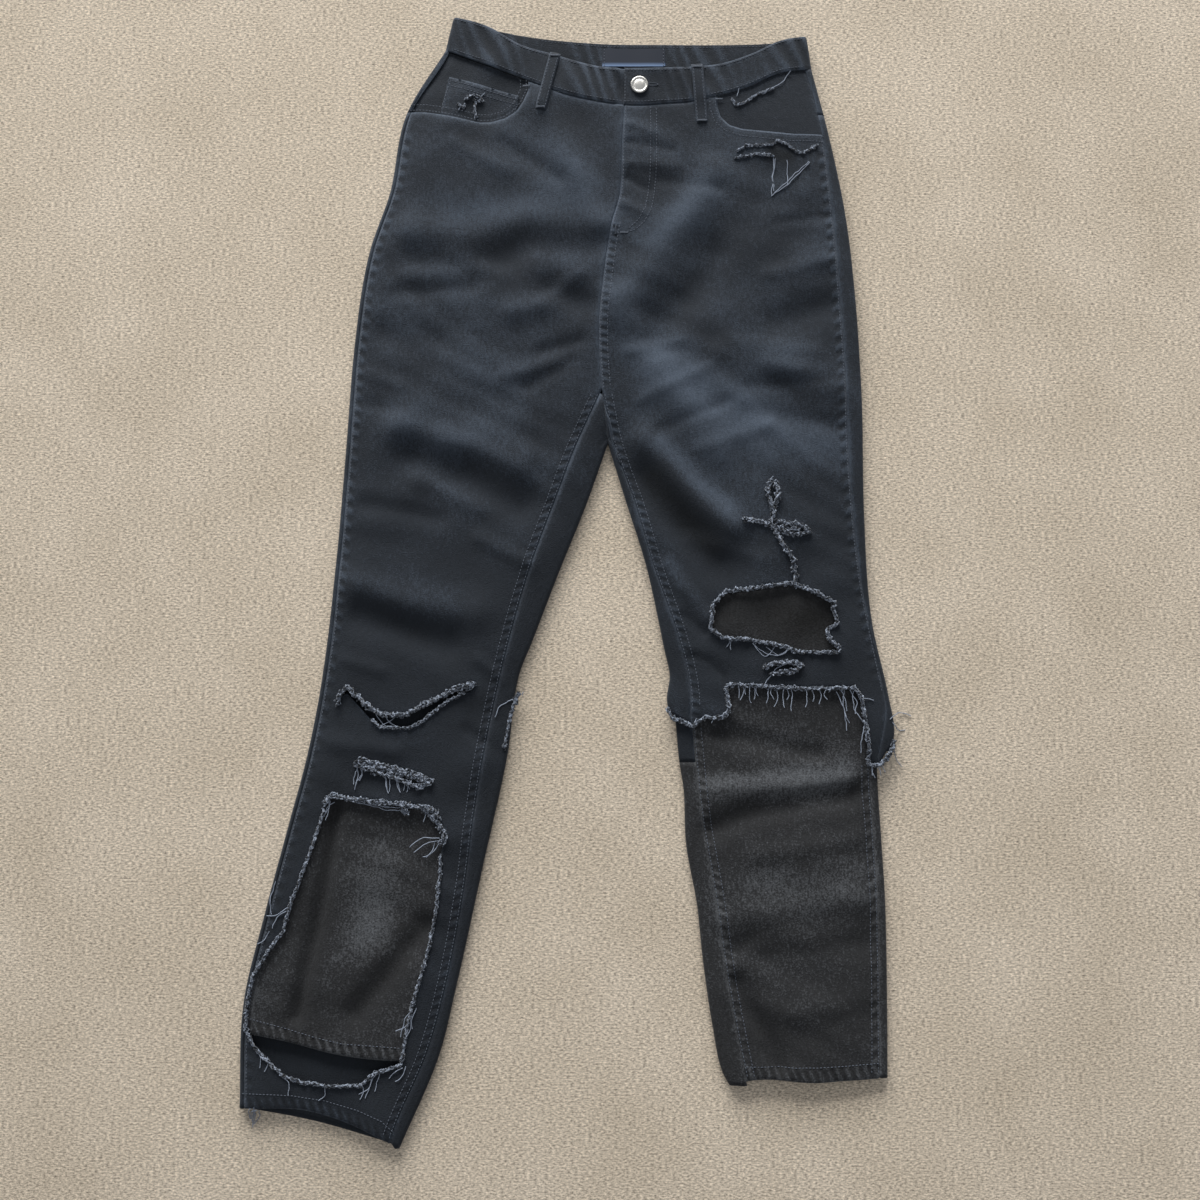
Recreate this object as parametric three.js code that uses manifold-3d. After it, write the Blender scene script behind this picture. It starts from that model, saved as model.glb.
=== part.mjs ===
// Ripped high-waisted jeans, laid out flat with the front up. The outer pair is cut away at the
// knees, and a second pair of legs shows through the rips. Millimetres, +Z up.
import * as THREE from 'three';
import { mergeVertices } from 'three/addons/utils/BufferGeometryUtils.js';
import Module from 'manifold-3d';

const wasm = await Module();
wasm.setup();

// ---------------------------------------------------------------- driving dimensions
const WALL = 1.3; // one layer of denim
const BAND_WALL = 2.4; // the waistband is folded double
const GAP = 0.4; // between pieces at a seam and between layers
const FOLD = 4; // radius of the side folds, where the cloth turns under
const LAYER = WALL + GAP;
const CLEAR = 2.3; // from the outer cloth's top down to the top of a leg inside it
const POCKET_LIFT = LAYER; // the seat rests on its two back pockets
const LIFT_FROM = 230; // the seat rises off the ground from here ...
const LIFT_TO = 300; // ... to here
const FULL = 60; // the cloth reaches its full height this far in from a side fold
const HOLLOW_SPLIT = 4.6; // height between the under and the upper layer of the outer pair

// Full height of the upper layer above the ground, down the garment: [y, height]
const BODY_HEIGHT = [[600, 14], [480, 17], [300, 17], [100, 14.5], [-100, 13], [-400, 12], [-520, 11]];

// Colours of the cloths and the metal
const CLOTHS = {
  black: { color: 0x2b2e35, roughness: 0.92, metalness: 0 },
  grey: { color: 0x3b3e43, roughness: 0.95, metalness: 0 },
  label: { color: 0x191a1f, roughness: 0.8, metalness: 0 },
  metal: { color: 0xb4b6b9, roughness: 0.35, metalness: 1 },
};

// ---------------------------------------------------------------- plan outlines
// Seen from above, [x, y]: x towards the wearer's left, y towards the waist.
// The wearer's right leg is the one with the smaller x.
const APEX = [8, 158]; // where the two legs part
const CROTCH = [2, 212]; // where the four panels meet, on top
const RIGHT_OUTER = [
  [-161, 573], [-200, 505], [-216, 420], [-236, 356], [-249, 263], [-256, 152], [-263, 45],
  [-275, -78], [-288, -154], [-306, -227], [-326, -308], [-344, -392], [-345, -489],
];
const RIGHT_INNER = [
  APEX, [-14, 95], [-41, 27], [-68, -44], [-80, -75], [-91, -154], [-114, -261], [-139, -377],
  [-155, -442], [-191, -526],
];
const LEFT_OUTER = [
  [220, 552], [237, 479], [252, 396], [260, 313], [265, 206], [265, 81], [270, -19], [285, -95],
  [290, -134], [283, -157], [280, -195],
];
const LEFT_INNER = [
  APEX, [26, 99], [46, 34], [64, -51], [69, -76], [66, -97], [67, -107], [72, -120], [80, -195],
];
const RIGHT_INSEAM = [
  CROTCH, [-25, 152], [-41, 109], [-66, 41], [-85, -23], [-105, -108], [-120, -192], [-133, -292],
  [-149, -377], [-166, -438], [-193, -500], [-205, -535],
];
const LEFT_INSEAM = [
  CROTCH, [14, 156], [34, 99], [53, 34], [75, -30], [86, -73], [89, -98], [89, -113], [93, -163],
  [97, -200],
];
const LEFT_OUTSEAM = [
  [211, 556], [224, 508], [232, 455], [240, 364], [247, 249], [251, 116], [260, 16], [275, -66],
  [281, -100], [281, -113], [274, -150], [271, -200],
];
const CENTRE_FRONT = [[25, 511], [23, 473], [20, 414], [12, 384], [3, 322], [-1, 277], CROTCH, APEX];
const CENTRE_BACK = [[36, 546], [28, 480], [16, 400], [6, 300], CROTCH, APEX];
const FRONT_WAIST = [
  [-161, 573], [-124, 557], [-83, 541], [-48, 526], [-15, 517], [25, 511], [60, 512], [96, 515],
  [150, 529], [185, 545], [220, 552],
];
const BACK_WAIST = [[-161, 573], [-60, 557], [36, 546], [130, 547], [220, 552]];
const FRONT_TOP = [
  [-153, 609], [-114, 596], [-83, 577], [-50, 567], [0, 553], [40, 551], [94, 552], [127, 556],
  [158, 567], [186, 581], [215, 588],
];
const BACK_TOP = [[-153, 609], [-83, 592], [0, 583], [64, 582], [140, 582], [186, 584], [215, 588]];
const FRONT_HEM = [[-345, -489], [-281, -490], [-251, -498], [-208, -517], [-191, -526]];
const BACK_HEM = [[-345, -489], [-274, -502], [-216, -518], [-191, -526]];

// The second pair's legs, inside the outer ones
const RIGHT_LINING_HEM = [[-343, -419], [-301, -427], [-258, -438], [-216, -444], [-155, -446]];
const LEFT_LINING_HEM = [[125, -470], [144, -463], [207, -465], [240, -463], [276, -461]];
const LEFT_LINING_OUTER = [
  [259, 60], [266, -19], [272, -80], [274, -140], [272.5, -167], [275, -234], [277.5, -297],
  [277.5, -359], [276, -461],
];
const LEFT_LINING_INNER = [
  [41, 60], [49, 34], [68, -51], [74, -76], [73, -97], [74.5, -120], [78, -161], [82, -188], [84, -240],
  [94, -297], [100, -355], [109, -417], [117, -455], [125, -470],
];
const LEFT_LINING_INSEAM = [
  [54, 66], [75, -10], [84, -60], [88, -100], [91, -130], [98, -205], [111, -288], [123, -372], [142, -475],
];
const LEFT_LINING_STEP = -161; // its back is black above this, and grey below

// Soft folds in the upper layer: where each one runs, its half-width and its height
const OUTER_FOLDS = [
  { run: [[-185, 402], [-90, 392], [-10, 376]], width: 13, height: 2.6 },
  { run: [[-190, 378], [-90, 366], [-15, 352]], width: 13, height: -2.4 },
  { run: [[-60, 345], [0, 340]], width: 14, height: 1.8 },
  { run: [[-48, 312], [-8, 300]], width: 12, height: -2 },
  { run: [[-215, 270], [-165, 262]], width: 14, height: -2.2 },
  { run: [[-200, 186], [-135, 167], [-80, 150]], width: 14, height: 2.6 },
  { run: [[-150, 140], [-80, 105]], width: 14, height: -2.4 },
  { run: [[-250, 20], [-200, 0], [-125, -15]], width: 14, height: 2.6 },
  { run: [[-238, -16], [-150, -42]], width: 13, height: -2.6 },
  { run: [[-60, 512], [-35, 450], [0, 385]], width: 12, height: 2 },
  { run: [[112, 480], [90, 420], [45, 360], [20, 320]], width: 15, height: 2.6 },
  { run: [[72, 330], [58, 290]], width: 14, height: -3 },
  { run: [[10, 300], [70, 215], [150, 95]], width: 17, height: 2.8 },
  { run: [[20, 190], [65, 128], [150, 30]], width: 15, height: -2.8 },
  { run: [[235, 300], [180, 280]], width: 12, height: -1.6 },
];
const LINING_FOLDS = [
  { run: [[-262, -205], [-274, -292], [-297, -404]], width: 13, height: -2.2 },
  { run: [[-170, -320], [-235, -400]], width: 14, height: -2.2 },
  { run: [[115, -130], [215, -155]], width: 12, height: -2 },
  { run: [[111, -180], [240, -168]], width: 12, height: 2.2 },
  { run: [[107, -226], [148, -209], [252, -188]], width: 12, height: -2.6 },
  { run: [[125, -310], [255, -290]], width: 16, height: 1.6 },
  { run: [[132, -372], [172, -448]], width: 12, height: -2.4 },
];

// Rips, as outlines of the cloth that is gone
const SMILE_RIP = [
  [-258, -101], [-249, -87], [-237, -98], [-222, -111], [-205, -115], [-189, -114], [-170, -104],
  [-147, -92], [-124, -83], [-124, -90], [-151, -102], [-174, -121], [-187, -127], [-216, -127],
];
const SHORT_RIP = [
  [-239, -163], [-233, -158], [-205, -166], [-178, -173], [-165, -180], [-178, -185], [-205, -174],
];
const WINDOW_RIP = [
  [-266, -194], [-205, -200], [-174, -204], [-158, -219], [-150, -231], [-155, -250], [-158, -300],
  [-172, -365], [-185, -415], [-190, -448], [-216, -456], [-228, -467], [-258, -467], [-301, -458],
  [-331, -431], [-348, -415], [-348, -392], [-335, -365], [-320, -342], [-306, -323], [-289, -269],
];
const KNEE_HOLE = [
  [125, 7], [112, -5], [109, -30], [121, -39], [148, -41], [194, -53], [235, -53], [225, -35],
  [235, -25], [232, -4], [212, 7], [189, 16], [158, 11],
];
const FRONT_CUT_OFF = [
  [50, -100], [67, -108], [72, -118], [91, -126], [102, -117], [119, -118], [127, -111], [124, -88],
  [165, -87], [207, -89], [250, -88], [257, -97], [261, -130], [262, -163], [273, -165], [284, -155],
  [300, -135], [300, -230], [50, -230],
];
const BACK_CUT_OFF = [
  [50, -100], [67, -108], [72, -118], [91, -126], [180, -148], [262, -163], [273, -165], [284, -155],
  [300, -135], [300, -230], [50, -230],
];

// Pockets
const RIGHT_SCOOP = [
  [-74, 545], [-74, 526], [-79, 514], [-86, 504], [-98, 496], [-112, 492], [-124, 492], [-151, 498],
  [-180, 505], [-210, 506],
];
const LEFT_SCOOP = [
  [121, 530], [121, 508], [124, 498], [133, 489], [146, 485], [173, 482], [199, 479], [250, 481],
];
const RIGHT_FACING = [
  [-64, 560], [-64, 520], [-72, 500], [-90, 485], [-115, 478], [-150, 484], [-230, 492], [-230, 600],
];
const LEFT_FACING = [
  [111, 540], [111, 505], [116, 490], [130, 478], [150, 472], [200, 466], [250, 466], [250, 580],
];
const COIN_POCKET = [[-156, 543], [-84, 521], [-88, 482], [-120, 482], [-166, 492]];
const POCKET_SIZE = [134, 142]; // a back pocket, over its widest and longest
const POCKET_PLACES = [[-92, 396, -3], [152, 394, 3]]; // centre x, centre y, turn in degrees

// Waistband, its fastening and its label
const FLY_END = 24; // the wearer's left end of the band stops here, over the right one
const TONGUE_END = 58; // the right end reaches this far underneath
const BUTTON_AT = [40.6, 531.8];
const BUTTON_RADIUS = 9.2;
const SHANK_RADIUS = 2.6;
const BAND_FRONT = [[-10, 480], [80, 480], [80, 600], [-10, 600]];
const LABEL = [[2.4, 558], [68, 558], [68, 577], [2.4, 577]];
const FRONT_LOOPS = [
  { top: [-46.5, 566], bottom: [-61, 504], width: 11 },
  { top: [100, 553], bottom: [104.7, 490.6], width: 11.8 },
];
const BACK_LOOPS = [
  { top: [-112, 593], bottom: [-118, 528], width: 11.5 },
  { top: [38, 581], bottom: [35, 516], width: 11.5 },
  { top: [176, 581], bottom: [180, 516], width: 11.5 },
];

// ---------------------------------------------------------------- small geometry helpers
const lerp = THREE.MathUtils.lerp;
const smooth = THREE.MathUtils.smoothstep;
const slope = (a, b) => (b[1] - a[1]) / (b[0] - a[0]);

// A smooth curve through points [t, value], held level past both ends.
function curve(points, t) {
  const p = points[0][0] < points.at(-1)[0] ? points : [...points].reverse();
  if (t <= p[0][0]) return p[0][1];
  if (t >= p.at(-1)[0]) return p.at(-1)[1];
  const i = p.findIndex((point) => point[0] >= t) - 1;
  const [a, b] = [p[i], p[i + 1]];
  const chord = slope(a, b);
  const enter = i > 0 ? (slope(p[i - 1], a) + chord) / 2 : chord;
  const leave = i + 2 < p.length ? (chord + slope(b, p[i + 2])) / 2 : chord;
  const [span, s] = [b[0] - a[0], (t - a[0]) / (b[0] - a[0])];
  const bend = s * (1 - s) * ((enter - chord) * span * (1 - s) - (leave - chord) * span * s);
  return lerp(a[1], b[1], s) + bend;
}
const xAt = (line, y) => curve(line.map(([px, py]) => [py, px]), y);
const yAt = (line, x) => curve(line, x);

function distanceTo(run, x, y) {
  let best = Infinity;
  for (let i = 0; i + 1 < run.length; i++) {
    const [[ax, ay], [bx, by]] = [run[i], run[i + 1]];
    const [dx, dy] = [bx - ax, by - ay];
    const s = THREE.MathUtils.clamp(((x - ax) * dx + (y - ay) * dy) / (dx * dx + dy * dy), 0, 1);
    best = Math.min(best, Math.hypot(x - ax - s * dx, y - ay - s * dy));
  }
  return best;
}
const foldHeight = (folds, x, y) =>
  folds.reduce((sum, f) => sum + f.height * Math.exp(-((distanceTo(f.run, x, y) / f.width) ** 2)), 0);

// ---------------------------------------------------------------- heights
const under = (y) => POCKET_LIFT * smooth(y, LIFT_FROM, LIFT_TO);

// Height of the upper layer: low at the side folds, full in the middle, with the folds added.
function heightBetween(x, y, left, right, apexSide, folds) {
  const toSides = Math.min(x - left, right - x);
  const fromApex = apexSide && y > APEX[1] ? Math.hypot(x - APEX[0], y - APEX[1]) : Infinity;
  const d = THREE.MathUtils.clamp(Math.min(toSides, fromApex) / FULL, 0, 1);
  const edge = under(y) + 2 * FOLD;
  const rise = (curve(BODY_HEIGHT, y) - edge) * (1 - (1 - d) ** 3);
  return edge + rise + foldHeight(folds, x, y) * Math.min(1, 2.5 * d);
}
function outerTop(x, y) {
  const hips = y > APEX[1];
  const onRight = x < APEX[0];
  const left = hips || onRight ? xAt(RIGHT_OUTER, y) : xAt(LEFT_INNER, y);
  const right = hips || !onRight ? xAt(LEFT_OUTER, y) : xAt(RIGHT_INNER, y);
  return heightBetween(x, y, left, right, true, OUTER_FOLDS);
}
function rightLiningTop(x, y) {
  const own = heightBetween(x, y, xAt(RIGHT_OUTER, y), xAt(RIGHT_INNER, y), false, LINING_FOLDS);
  return Math.min(own, outerTop(x, y)) - CLEAR;
}
function leftLiningTop(x, y) {
  const own = heightBetween(x, y, xAt(LEFT_LINING_INNER, y), xAt(LEFT_LINING_OUTER, y), false, LINING_FOLDS);
  const bare = smooth(-y, 165, 200);
  return lerp(Math.min(own, outerTop(x, y)) - CLEAR, own - 1, bare);
}

// ---------------------------------------------------------------- closed bodies
function solid(geometry) {
  geometry.deleteAttribute('normal');
  geometry.deleteAttribute('uv');
  const merged = mergeVertices(geometry, 1e-4);
  const vertProperties = new Float32Array(merged.attributes.position.array);
  const triVerts = new Uint32Array(merged.index.array);
  return new wasm.Manifold(new wasm.Mesh({ numProp: 3, vertProperties, triVerts }));
}

function geometryOf(body) {
  const mesh = body.getMesh();
  const geometry = new THREE.BufferGeometry();
  geometry.setAttribute('position', new THREE.BufferAttribute(mesh.vertProperties, 3));
  geometry.setIndex(new THREE.BufferAttribute(mesh.triVerts, 1));
  return geometry;
}
const raised = (body, height) => solid(geometryOf(body).translate(0, 0, height));

// Skins a row of rings, each the same number of points round, and closes both ends.
function skin(rings) {
  const around = rings[0].length;
  const faces = [];
  for (let k = 0; k + 1 < rings.length; k++) {
    for (let i = 0; i < around; i++) {
      const j = (i + 1) % around;
      const [a, b, c, d] = [rings[k][i], rings[k][j], rings[k + 1][j], rings[k + 1][i]];
      faces.push([a, b, c], [a, c, d]);
    }
  }
  for (const [ring, flip] of [[rings[0], true], [rings.at(-1), false]]) {
    const contour = ring.map(([x, , z]) => new THREE.Vector2(x, z));
    const clockwise = THREE.ShapeUtils.isClockWise(contour);
    for (const [i, j, k] of THREE.ShapeUtils.triangulateShape(contour, [])) {
      const face = [ring[i], ring[j], ring[k]];
      faces.push(flip !== clockwise ? face.reverse() : face);
    }
  }
  const same = (p, q) => p.every((value, axis) => Math.abs(value - q[axis]) < 1e-4);
  const whole = faces.filter(([a, b, c]) => !same(a, b) && !same(b, c) && !same(a, c));
  const volume = whole.reduce((sum, [a, b, c]) => {
    const [u, v, w] = [a, b, c].map((p) => new THREE.Vector3(...p));
    return sum + u.dot(v.cross(w));
  }, 0);
  const outward = volume > 0 ? whole : whole.map(([a, b, c]) => [a, c, b]);
  const geometry = new THREE.BufferGeometry();
  geometry.setAttribute('position', new THREE.Float32BufferAttribute(outward.flat(2), 3));
  return solid(geometry);
}

// An upright body on a plan outline.
function prism(outline, low = -5, high = 40) {
  const shape = new THREE.Shape(outline.map(([x, y]) => new THREE.Vector2(x, y)));
  const geometry = new THREE.ExtrudeGeometry(shape, { depth: high - low, bevelEnabled: false });
  return solid(geometry.translate(0, 0, low));
}

// An upright wall along a line, as wide as the gap between two sewn pieces.
function seamCut(line, low, high) {
  const points = line.map((p) => new THREE.Vector2(...p));
  const normals = points.map((p, i) => {
    const along = points[Math.min(i + 1, points.length - 1)].clone().sub(points[Math.max(i - 1, 0)]);
    return new THREE.Vector2(-along.y, along.x).normalize().multiplyScalar(GAP / 2);
  });
  const one = points.map((p, i) => p.clone().add(normals[i]).toArray());
  const other = points.map((p, i) => p.clone().sub(normals[i]).toArray());
  return prism([...one, ...other.reverse()], low, high);
}

// A sheet of cloth over a plan outline, with its top at height(x, y).
function panel(outline, height, wall = WALL, step = 22) {
  const xs = outline.map((p) => p[0]);
  const ys = outline.map((p) => p[1]);
  const [x0, x1, y0, y1] = [Math.min(...xs) - 1, Math.max(...xs) + 1, Math.min(...ys) - 1, Math.max(...ys) + 1];
  const columns = Math.max(1, Math.round((x1 - x0) / step));
  const rows = Math.max(1, Math.round((y1 - y0) / step));
  const rings = [];
  for (let k = 0; k <= rows; k++) {
    const y = lerp(y0, y1, k / rows);
    const over = [];
    for (let i = 0; i <= columns; i++) {
      const x = lerp(x0, x1, i / columns);
      over.push([x, y, height(x, y)]);
    }
    const below = over.map(([x, , z]) => [x, y, z - wall]).reverse();
    rings.push([...over, ...below]);
  }
  return skin(rings).intersect(prism(outline));
}

// ---------------------------------------------------------------- tubes lying on the ground
const COLUMNS = 6;
const BAND_COLUMNS = 14; // across the whole waist
const ARC_STEPS = 3;

// One ring: over the top from side a to side b, round fold b, back underneath, round fold a.
// A side is { x, y, out } with out -1 or 1 for a fold and 0 for a flat end, or { apex: true }.
function ringPoints({ a, b, bendTop, bendUnder, underB, columns = COLUMNS }, top, floor, inset) {
  const radius = FOLD - inset;
  const start = (side) => [side.x - side.out * FOLD, side.y + (side.apex ? FOLD : 0)];
  const across = (from, to, count, bend, height) => {
    const points = [];
    for (let i = 0; i <= count; i++) {
      const u = lerp(i / count, (1 - Math.cos((Math.PI * i) / count)) / 2, 0.6);
      const x = lerp(from[0], to[0], u);
      const y = lerp(from[1], to[1], u) + bend(x, u);
      points.push([x, y, height(x, y)]);
    }
    return points;
  };
  const over = across(start(a), start(b), columns, bendTop, (x, y) => top(x, y) - inset);
  const beneath = across(underB ?? start(b), start(a), columns / 2, bendUnder, (x, y) => floor(y) + inset);
  const round = (side, from, to) => {
    const points = [];
    for (let i = 1; i < ARC_STEPS; i++) {
      const s = i / ARC_STEPS;
      const bulge = radius * Math.sin(Math.PI * s);
      const middle = (from[2] + to[2]) / 2;
      const half = (from[2] - to[2]) / 2;
      const x = lerp(from[0], to[0], s) + side.out * bulge;
      const y = lerp(from[1], to[1], s) - (side.apex ? bulge : 0);
      points.push([x, y, middle + half * Math.cos(Math.PI * s)]);
    }
    return points;
  };
  return [...over, ...round(b, over.at(-1), beneath[0]), ...beneath, ...round(a, beneath.at(-1), over[0])];
}

// A hollow tube of cloth, open at both ends.
function hollow(rows, top, floor, wall = WALL) {
  const shifted = (ring, y) => ring.map((p) => [p[0], p[1] + y, p[2]]);
  const outside = rows.map((row) => ringPoints(row, top, floor, 0));
  const inside = rows.map((row) => ringPoints(row, top, floor, wall));
  const outwards = Math.sign(inside[0][0][1] - inside.at(-1)[0][1]) * THROUGH;
  const through = [shifted(inside[0], outwards), ...inside, shifted(inside.at(-1), -outwards)];
  return { outside: skin(outside), inside: skin(through) };
}

const OVERRUN = 8; // tubes run past a cut by this much
const THROUGH = 30; // and their hollow runs out of both ends
const noBend = () => 0;
const bendTo = (line, from, to, fade, past = 0) => (x, u) =>
  fade * (yAt(line, x) + past - lerp(from, to, u));

// ---------------------------------------------------------------- the outer pair
const HIP_ROWS = 10;
const WAIST_POINTS = 16;
const BEND_ROWS = 6; // the waist seam's curve fades out over this many rows

// Rows of one half of the pair, from the waist seam to the end of its leg.
function halfRows(outerLine, innerLine, out, legEnds, legRows) {
  const rows = [];
  const waist = outerLine[0];
  for (let k = 0; k < HIP_ROWS; k++) {
    const s = k / HIP_ROWS;
    const fade = Math.max(0, 1 - k / BEND_ROWS) ** 2;
    const y = lerp(waist[1] + OVERRUN, APEX[1], s);
    const centre = lerp(CENTRE_FRONT[0][1] + OVERRUN, APEX[1], s);
    const back = lerp(CENTRE_BACK[0][1] + OVERRUN, APEX[1], s);
    rows.push({
      a: { x: xAt(outerLine, y), y, out },
      b: { x: xAt(CENTRE_FRONT, centre), y: centre, out: 0 },
      underB: [xAt(CENTRE_BACK, back), back],
      bendTop: bendTo(FRONT_WAIST, y, centre, fade, OVERRUN),
      bendUnder: bendTo(BACK_WAIST, back, y, fade, OVERRUN),
    });
  }
  const plain = { bendTop: noBend, bendUnder: noBend };
  const apex = { x: APEX[0], y: APEX[1], out: 0, apex: true };
  rows.push({ a: { x: xAt(outerLine, APEX[1]), y: APEX[1], out }, b: apex, ...plain });
  for (let k = 1; k <= legRows; k++) {
    const s = k / legRows;
    const y = lerp(APEX[1], legEnds.outer, s);
    const inner = lerp(APEX[1], legEnds.inner, s);
    const fade = legEnds.hem ? smooth(s, 0.8, 1) : 0;
    rows.push({
      a: { x: xAt(outerLine, y), y, out },
      b: { x: xAt(innerLine, inner), y: inner, out: -out },
      bendTop: fade ? bendTo(FRONT_HEM, y, inner, fade) : noBend,
      bendUnder: fade ? bendTo(BACK_HEM, inner, y, fade) : noBend,
    });
  }
  return rows;
}

const rightRows = halfRows(RIGHT_OUTER, RIGHT_INNER, -1, { outer: -489, inner: -526, hem: true }, 16);
const leftRows = halfRows(LEFT_OUTER, LEFT_INNER, 1, { outer: -190, inner: -190, hem: false }, 9);
const rightHalf = hollow(rightRows, outerTop, under);
const leftHalf = hollow(leftRows, outerTop, under);
const byX = (line, shift = 0) =>
  Array.from({ length: WAIST_POINTS + 1 }, (_, i) => {
    const x = lerp(line[0][0] - 12, line.at(-1)[0] + 12, i / WAIST_POINTS);
    return [x, yAt(line, x) + shift];
  });
const waistUpper = seamSides(byX(FRONT_WAIST), HOLLOW_SPLIT, 40);
const waistLower = seamSides(byX(BACK_WAIST), -5, HOLLOW_SPLIT);
const outerPair = rightHalf.outside
  .add(leftHalf.outside)
  .subtract(rightHalf.inside.add(leftHalf.inside))
  .subtract(waistUpper.above)
  .subtract(waistLower.above);

// Everything above a line that runs across, and everything below it, less half a gap each.
function seamSides(line, low, high) {
  const shift = (dy) => line.map(([x, y]) => [x, y + dy]);
  return {
    above: prism([...shift(-GAP / 2), [400, 700], [-400, 700]], low, high),
    below: prism([...shift(GAP / 2), [400, 0], [-400, 0]], low, high),
  };
}

const offsetLine = (line, dx) => line.map(([x, y]) => [x + dx, y]);
const RIGHT_OUTSEAM = [[-155, 600], ...offsetLine(RIGHT_OUTER, 5), [-340, -510]];
const sampled = (line, count) => {
  const [from, to] = [line[0][1], line.at(-1)[1]];
  return Array.from({ length: count + 1 }, (_, i) => {
    const y = lerp(from, to, i / count);
    return [xAt(line, y), y];
  });
};
const rightOutseam = sampled(RIGHT_OUTSEAM, 20);
const rightInseam = sampled(RIGHT_INSEAM, 15);
const leftOutseam = sampled([[200, 600], ...LEFT_OUTSEAM], 16);
const leftInseam = sampled(LEFT_INSEAM, 10);
const centreFront = sampled([[27, 600], ...CENTRE_FRONT.slice(0, -1)], 10);
const centreBack = sampled([[40, 600], ...CENTRE_BACK, [8, 140]], 8);

const rightFrontPlan = [...rightOutseam, ...[...centreFront, ...rightInseam.slice(1)].reverse()];
const leftFrontPlan = [...centreFront, ...leftInseam.slice(1), ...[...leftOutseam].reverse()];
const rightBackPlan = [...centreBack, [8, -560], [-400, -560], [-400, 620]];
const YOKE_LINE = [[-400, 512], [-200, 505], [22, 466], [238, 502], [400, 510]];
const yokePlan = [...YOKE_LINE, [400, 640], [-400, 640]];

const seams = [rightOutseam, rightInseam, leftOutseam, leftInseam, centreFront]
  .map((line) => seamCut(line, HOLLOW_SPLIT, 40))
  .reduce((all, cut) => all.add(cut));
const upper = (plan) => prism(plan, HOLLOW_SPLIT, 40);
const lowerBack = outerPair.subtract(upper(rightFrontPlan)).subtract(upper(leftFrontPlan)).subtract(seams);
const back = lowerBack.subtract(seamCut(centreBack, -5, 40)).subtract(seamCut(YOKE_LINE, -5, 40));

// The jeans' own waist edge stops a little below the band
const frontRight = outerPair
  .intersect(upper(rightFrontPlan))
  .subtract(seams)
  .subtract(prism([...RIGHT_SCOOP, [-230, 620], [-74, 620]]))
  .subtract(prism(SMILE_RIP))
  .subtract(prism(SHORT_RIP))
  .subtract(prism(WINDOW_RIP));
const frontLeft = outerPair
  .intersect(upper(leftFrontPlan))
  .subtract(seams)
  .subtract(prism([...LEFT_SCOOP, [250, 620], [121, 620]]))
  .subtract(prism(KNEE_HOLE))
  .subtract(prism(FRONT_CUT_OFF));
const backRight = back.intersect(prism(rightBackPlan)).subtract(prism(yokePlan));
const backLeft = back.subtract(prism(rightBackPlan)).subtract(prism(yokePlan)).subtract(prism(BACK_CUT_OFF));
const yokeRight = back.intersect(prism(rightBackPlan)).intersect(prism(yokePlan));
const yokeLeft = back.subtract(prism(rightBackPlan)).intersect(prism(yokePlan));

// ---------------------------------------------------------------- the legs of the second pair
function liningRows(outerX, innerX, out, start, end, hem, count) {
  return Array.from({ length: count + 1 }, (_, k) => {
    const s = k / count;
    const y = lerp(start, end.outer, s);
    const inner = lerp(start, end.inner, s);
    const fade = smooth(s, 0.75, 1);
    return {
      a: { x: outerX(y), y, out },
      b: { x: innerX(inner), y: inner, out: -out },
      bendTop: bendTo(hem, y, inner, fade),
      bendUnder: bendTo(hem, inner, y, fade),
    };
  });
}
const inLeg = WALL + GAP + 0.8;
const rightLining = hollow(
  liningRows((y) => xAt(RIGHT_OUTER, y) + inLeg + 1, (y) => xAt(RIGHT_INNER, y) - 2 * inLeg, -1, -138,
    { outer: -419, inner: -446 }, RIGHT_LINING_HEM, 8),
  rightLiningTop, () => LAYER);
const leftLiningFloor = (y) => LAYER * smooth(y, -200, -172);
const leftLining = hollow(
  liningRows((y) => xAt(LEFT_LINING_OUTER, y), (y) => xAt(LEFT_LINING_INNER, y), 1, 60,
    { outer: -461, inner: -470 }, LEFT_LINING_HEM, 14),
  leftLiningTop, leftLiningFloor);
const rightLiningOutseam = sampled(offsetLine(RIGHT_OUTER, 7).slice(6), 9);
const rightLiningInseam = sampled(offsetLine(RIGHT_INSEAM, 0).slice(4), 9);
const leftLiningOutseam = sampled([[251, 66], ...offsetLine(LEFT_LINING_OUTER, -8), [268, -480]], 10);
const leftLiningInseam = sampled(LEFT_LINING_INSEAM, 11);
const LINING_SPLIT = 3.6;
function halves({ outside, inside }, plan, lines, wallSplit) {
  const shell = outside.subtract(inside);
  const cuts = lines.map((line) => seamCut(line, wallSplit, 40)).reduce((all, cut) => all.add(cut));
  const cutShell = shell.subtract(cuts);
  const region = prism(plan, wallSplit, 40);
  return [cutShell.intersect(region), cutShell.subtract(region)];
}
const [liningFrontRight, liningBackRight] = halves(
  rightLining, [...rightLiningOutseam, ...[...rightLiningInseam].reverse()],
  [rightLiningOutseam, rightLiningInseam], LINING_SPLIT);
const [liningFrontLeft, liningBackLeftWhole] = halves(
  leftLining, [...leftLiningOutseam, ...[...leftLiningInseam].reverse()],
  [leftLiningOutseam, leftLiningInseam], LINING_SPLIT);
const aboveStep = [[0, LEFT_LINING_STEP], [400, LEFT_LINING_STEP], [400, 100], [0, 100]];
const stepCut = seamCut([[0, LEFT_LINING_STEP], [400, LEFT_LINING_STEP]], -5, 40);
const liningBackLeft = liningBackLeftWhole.subtract(prism(aboveStep)).subtract(stepCut);
const liningBackUpperLeft = liningBackLeftWhole.intersect(prism(aboveStep)).subtract(stepCut);

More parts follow.
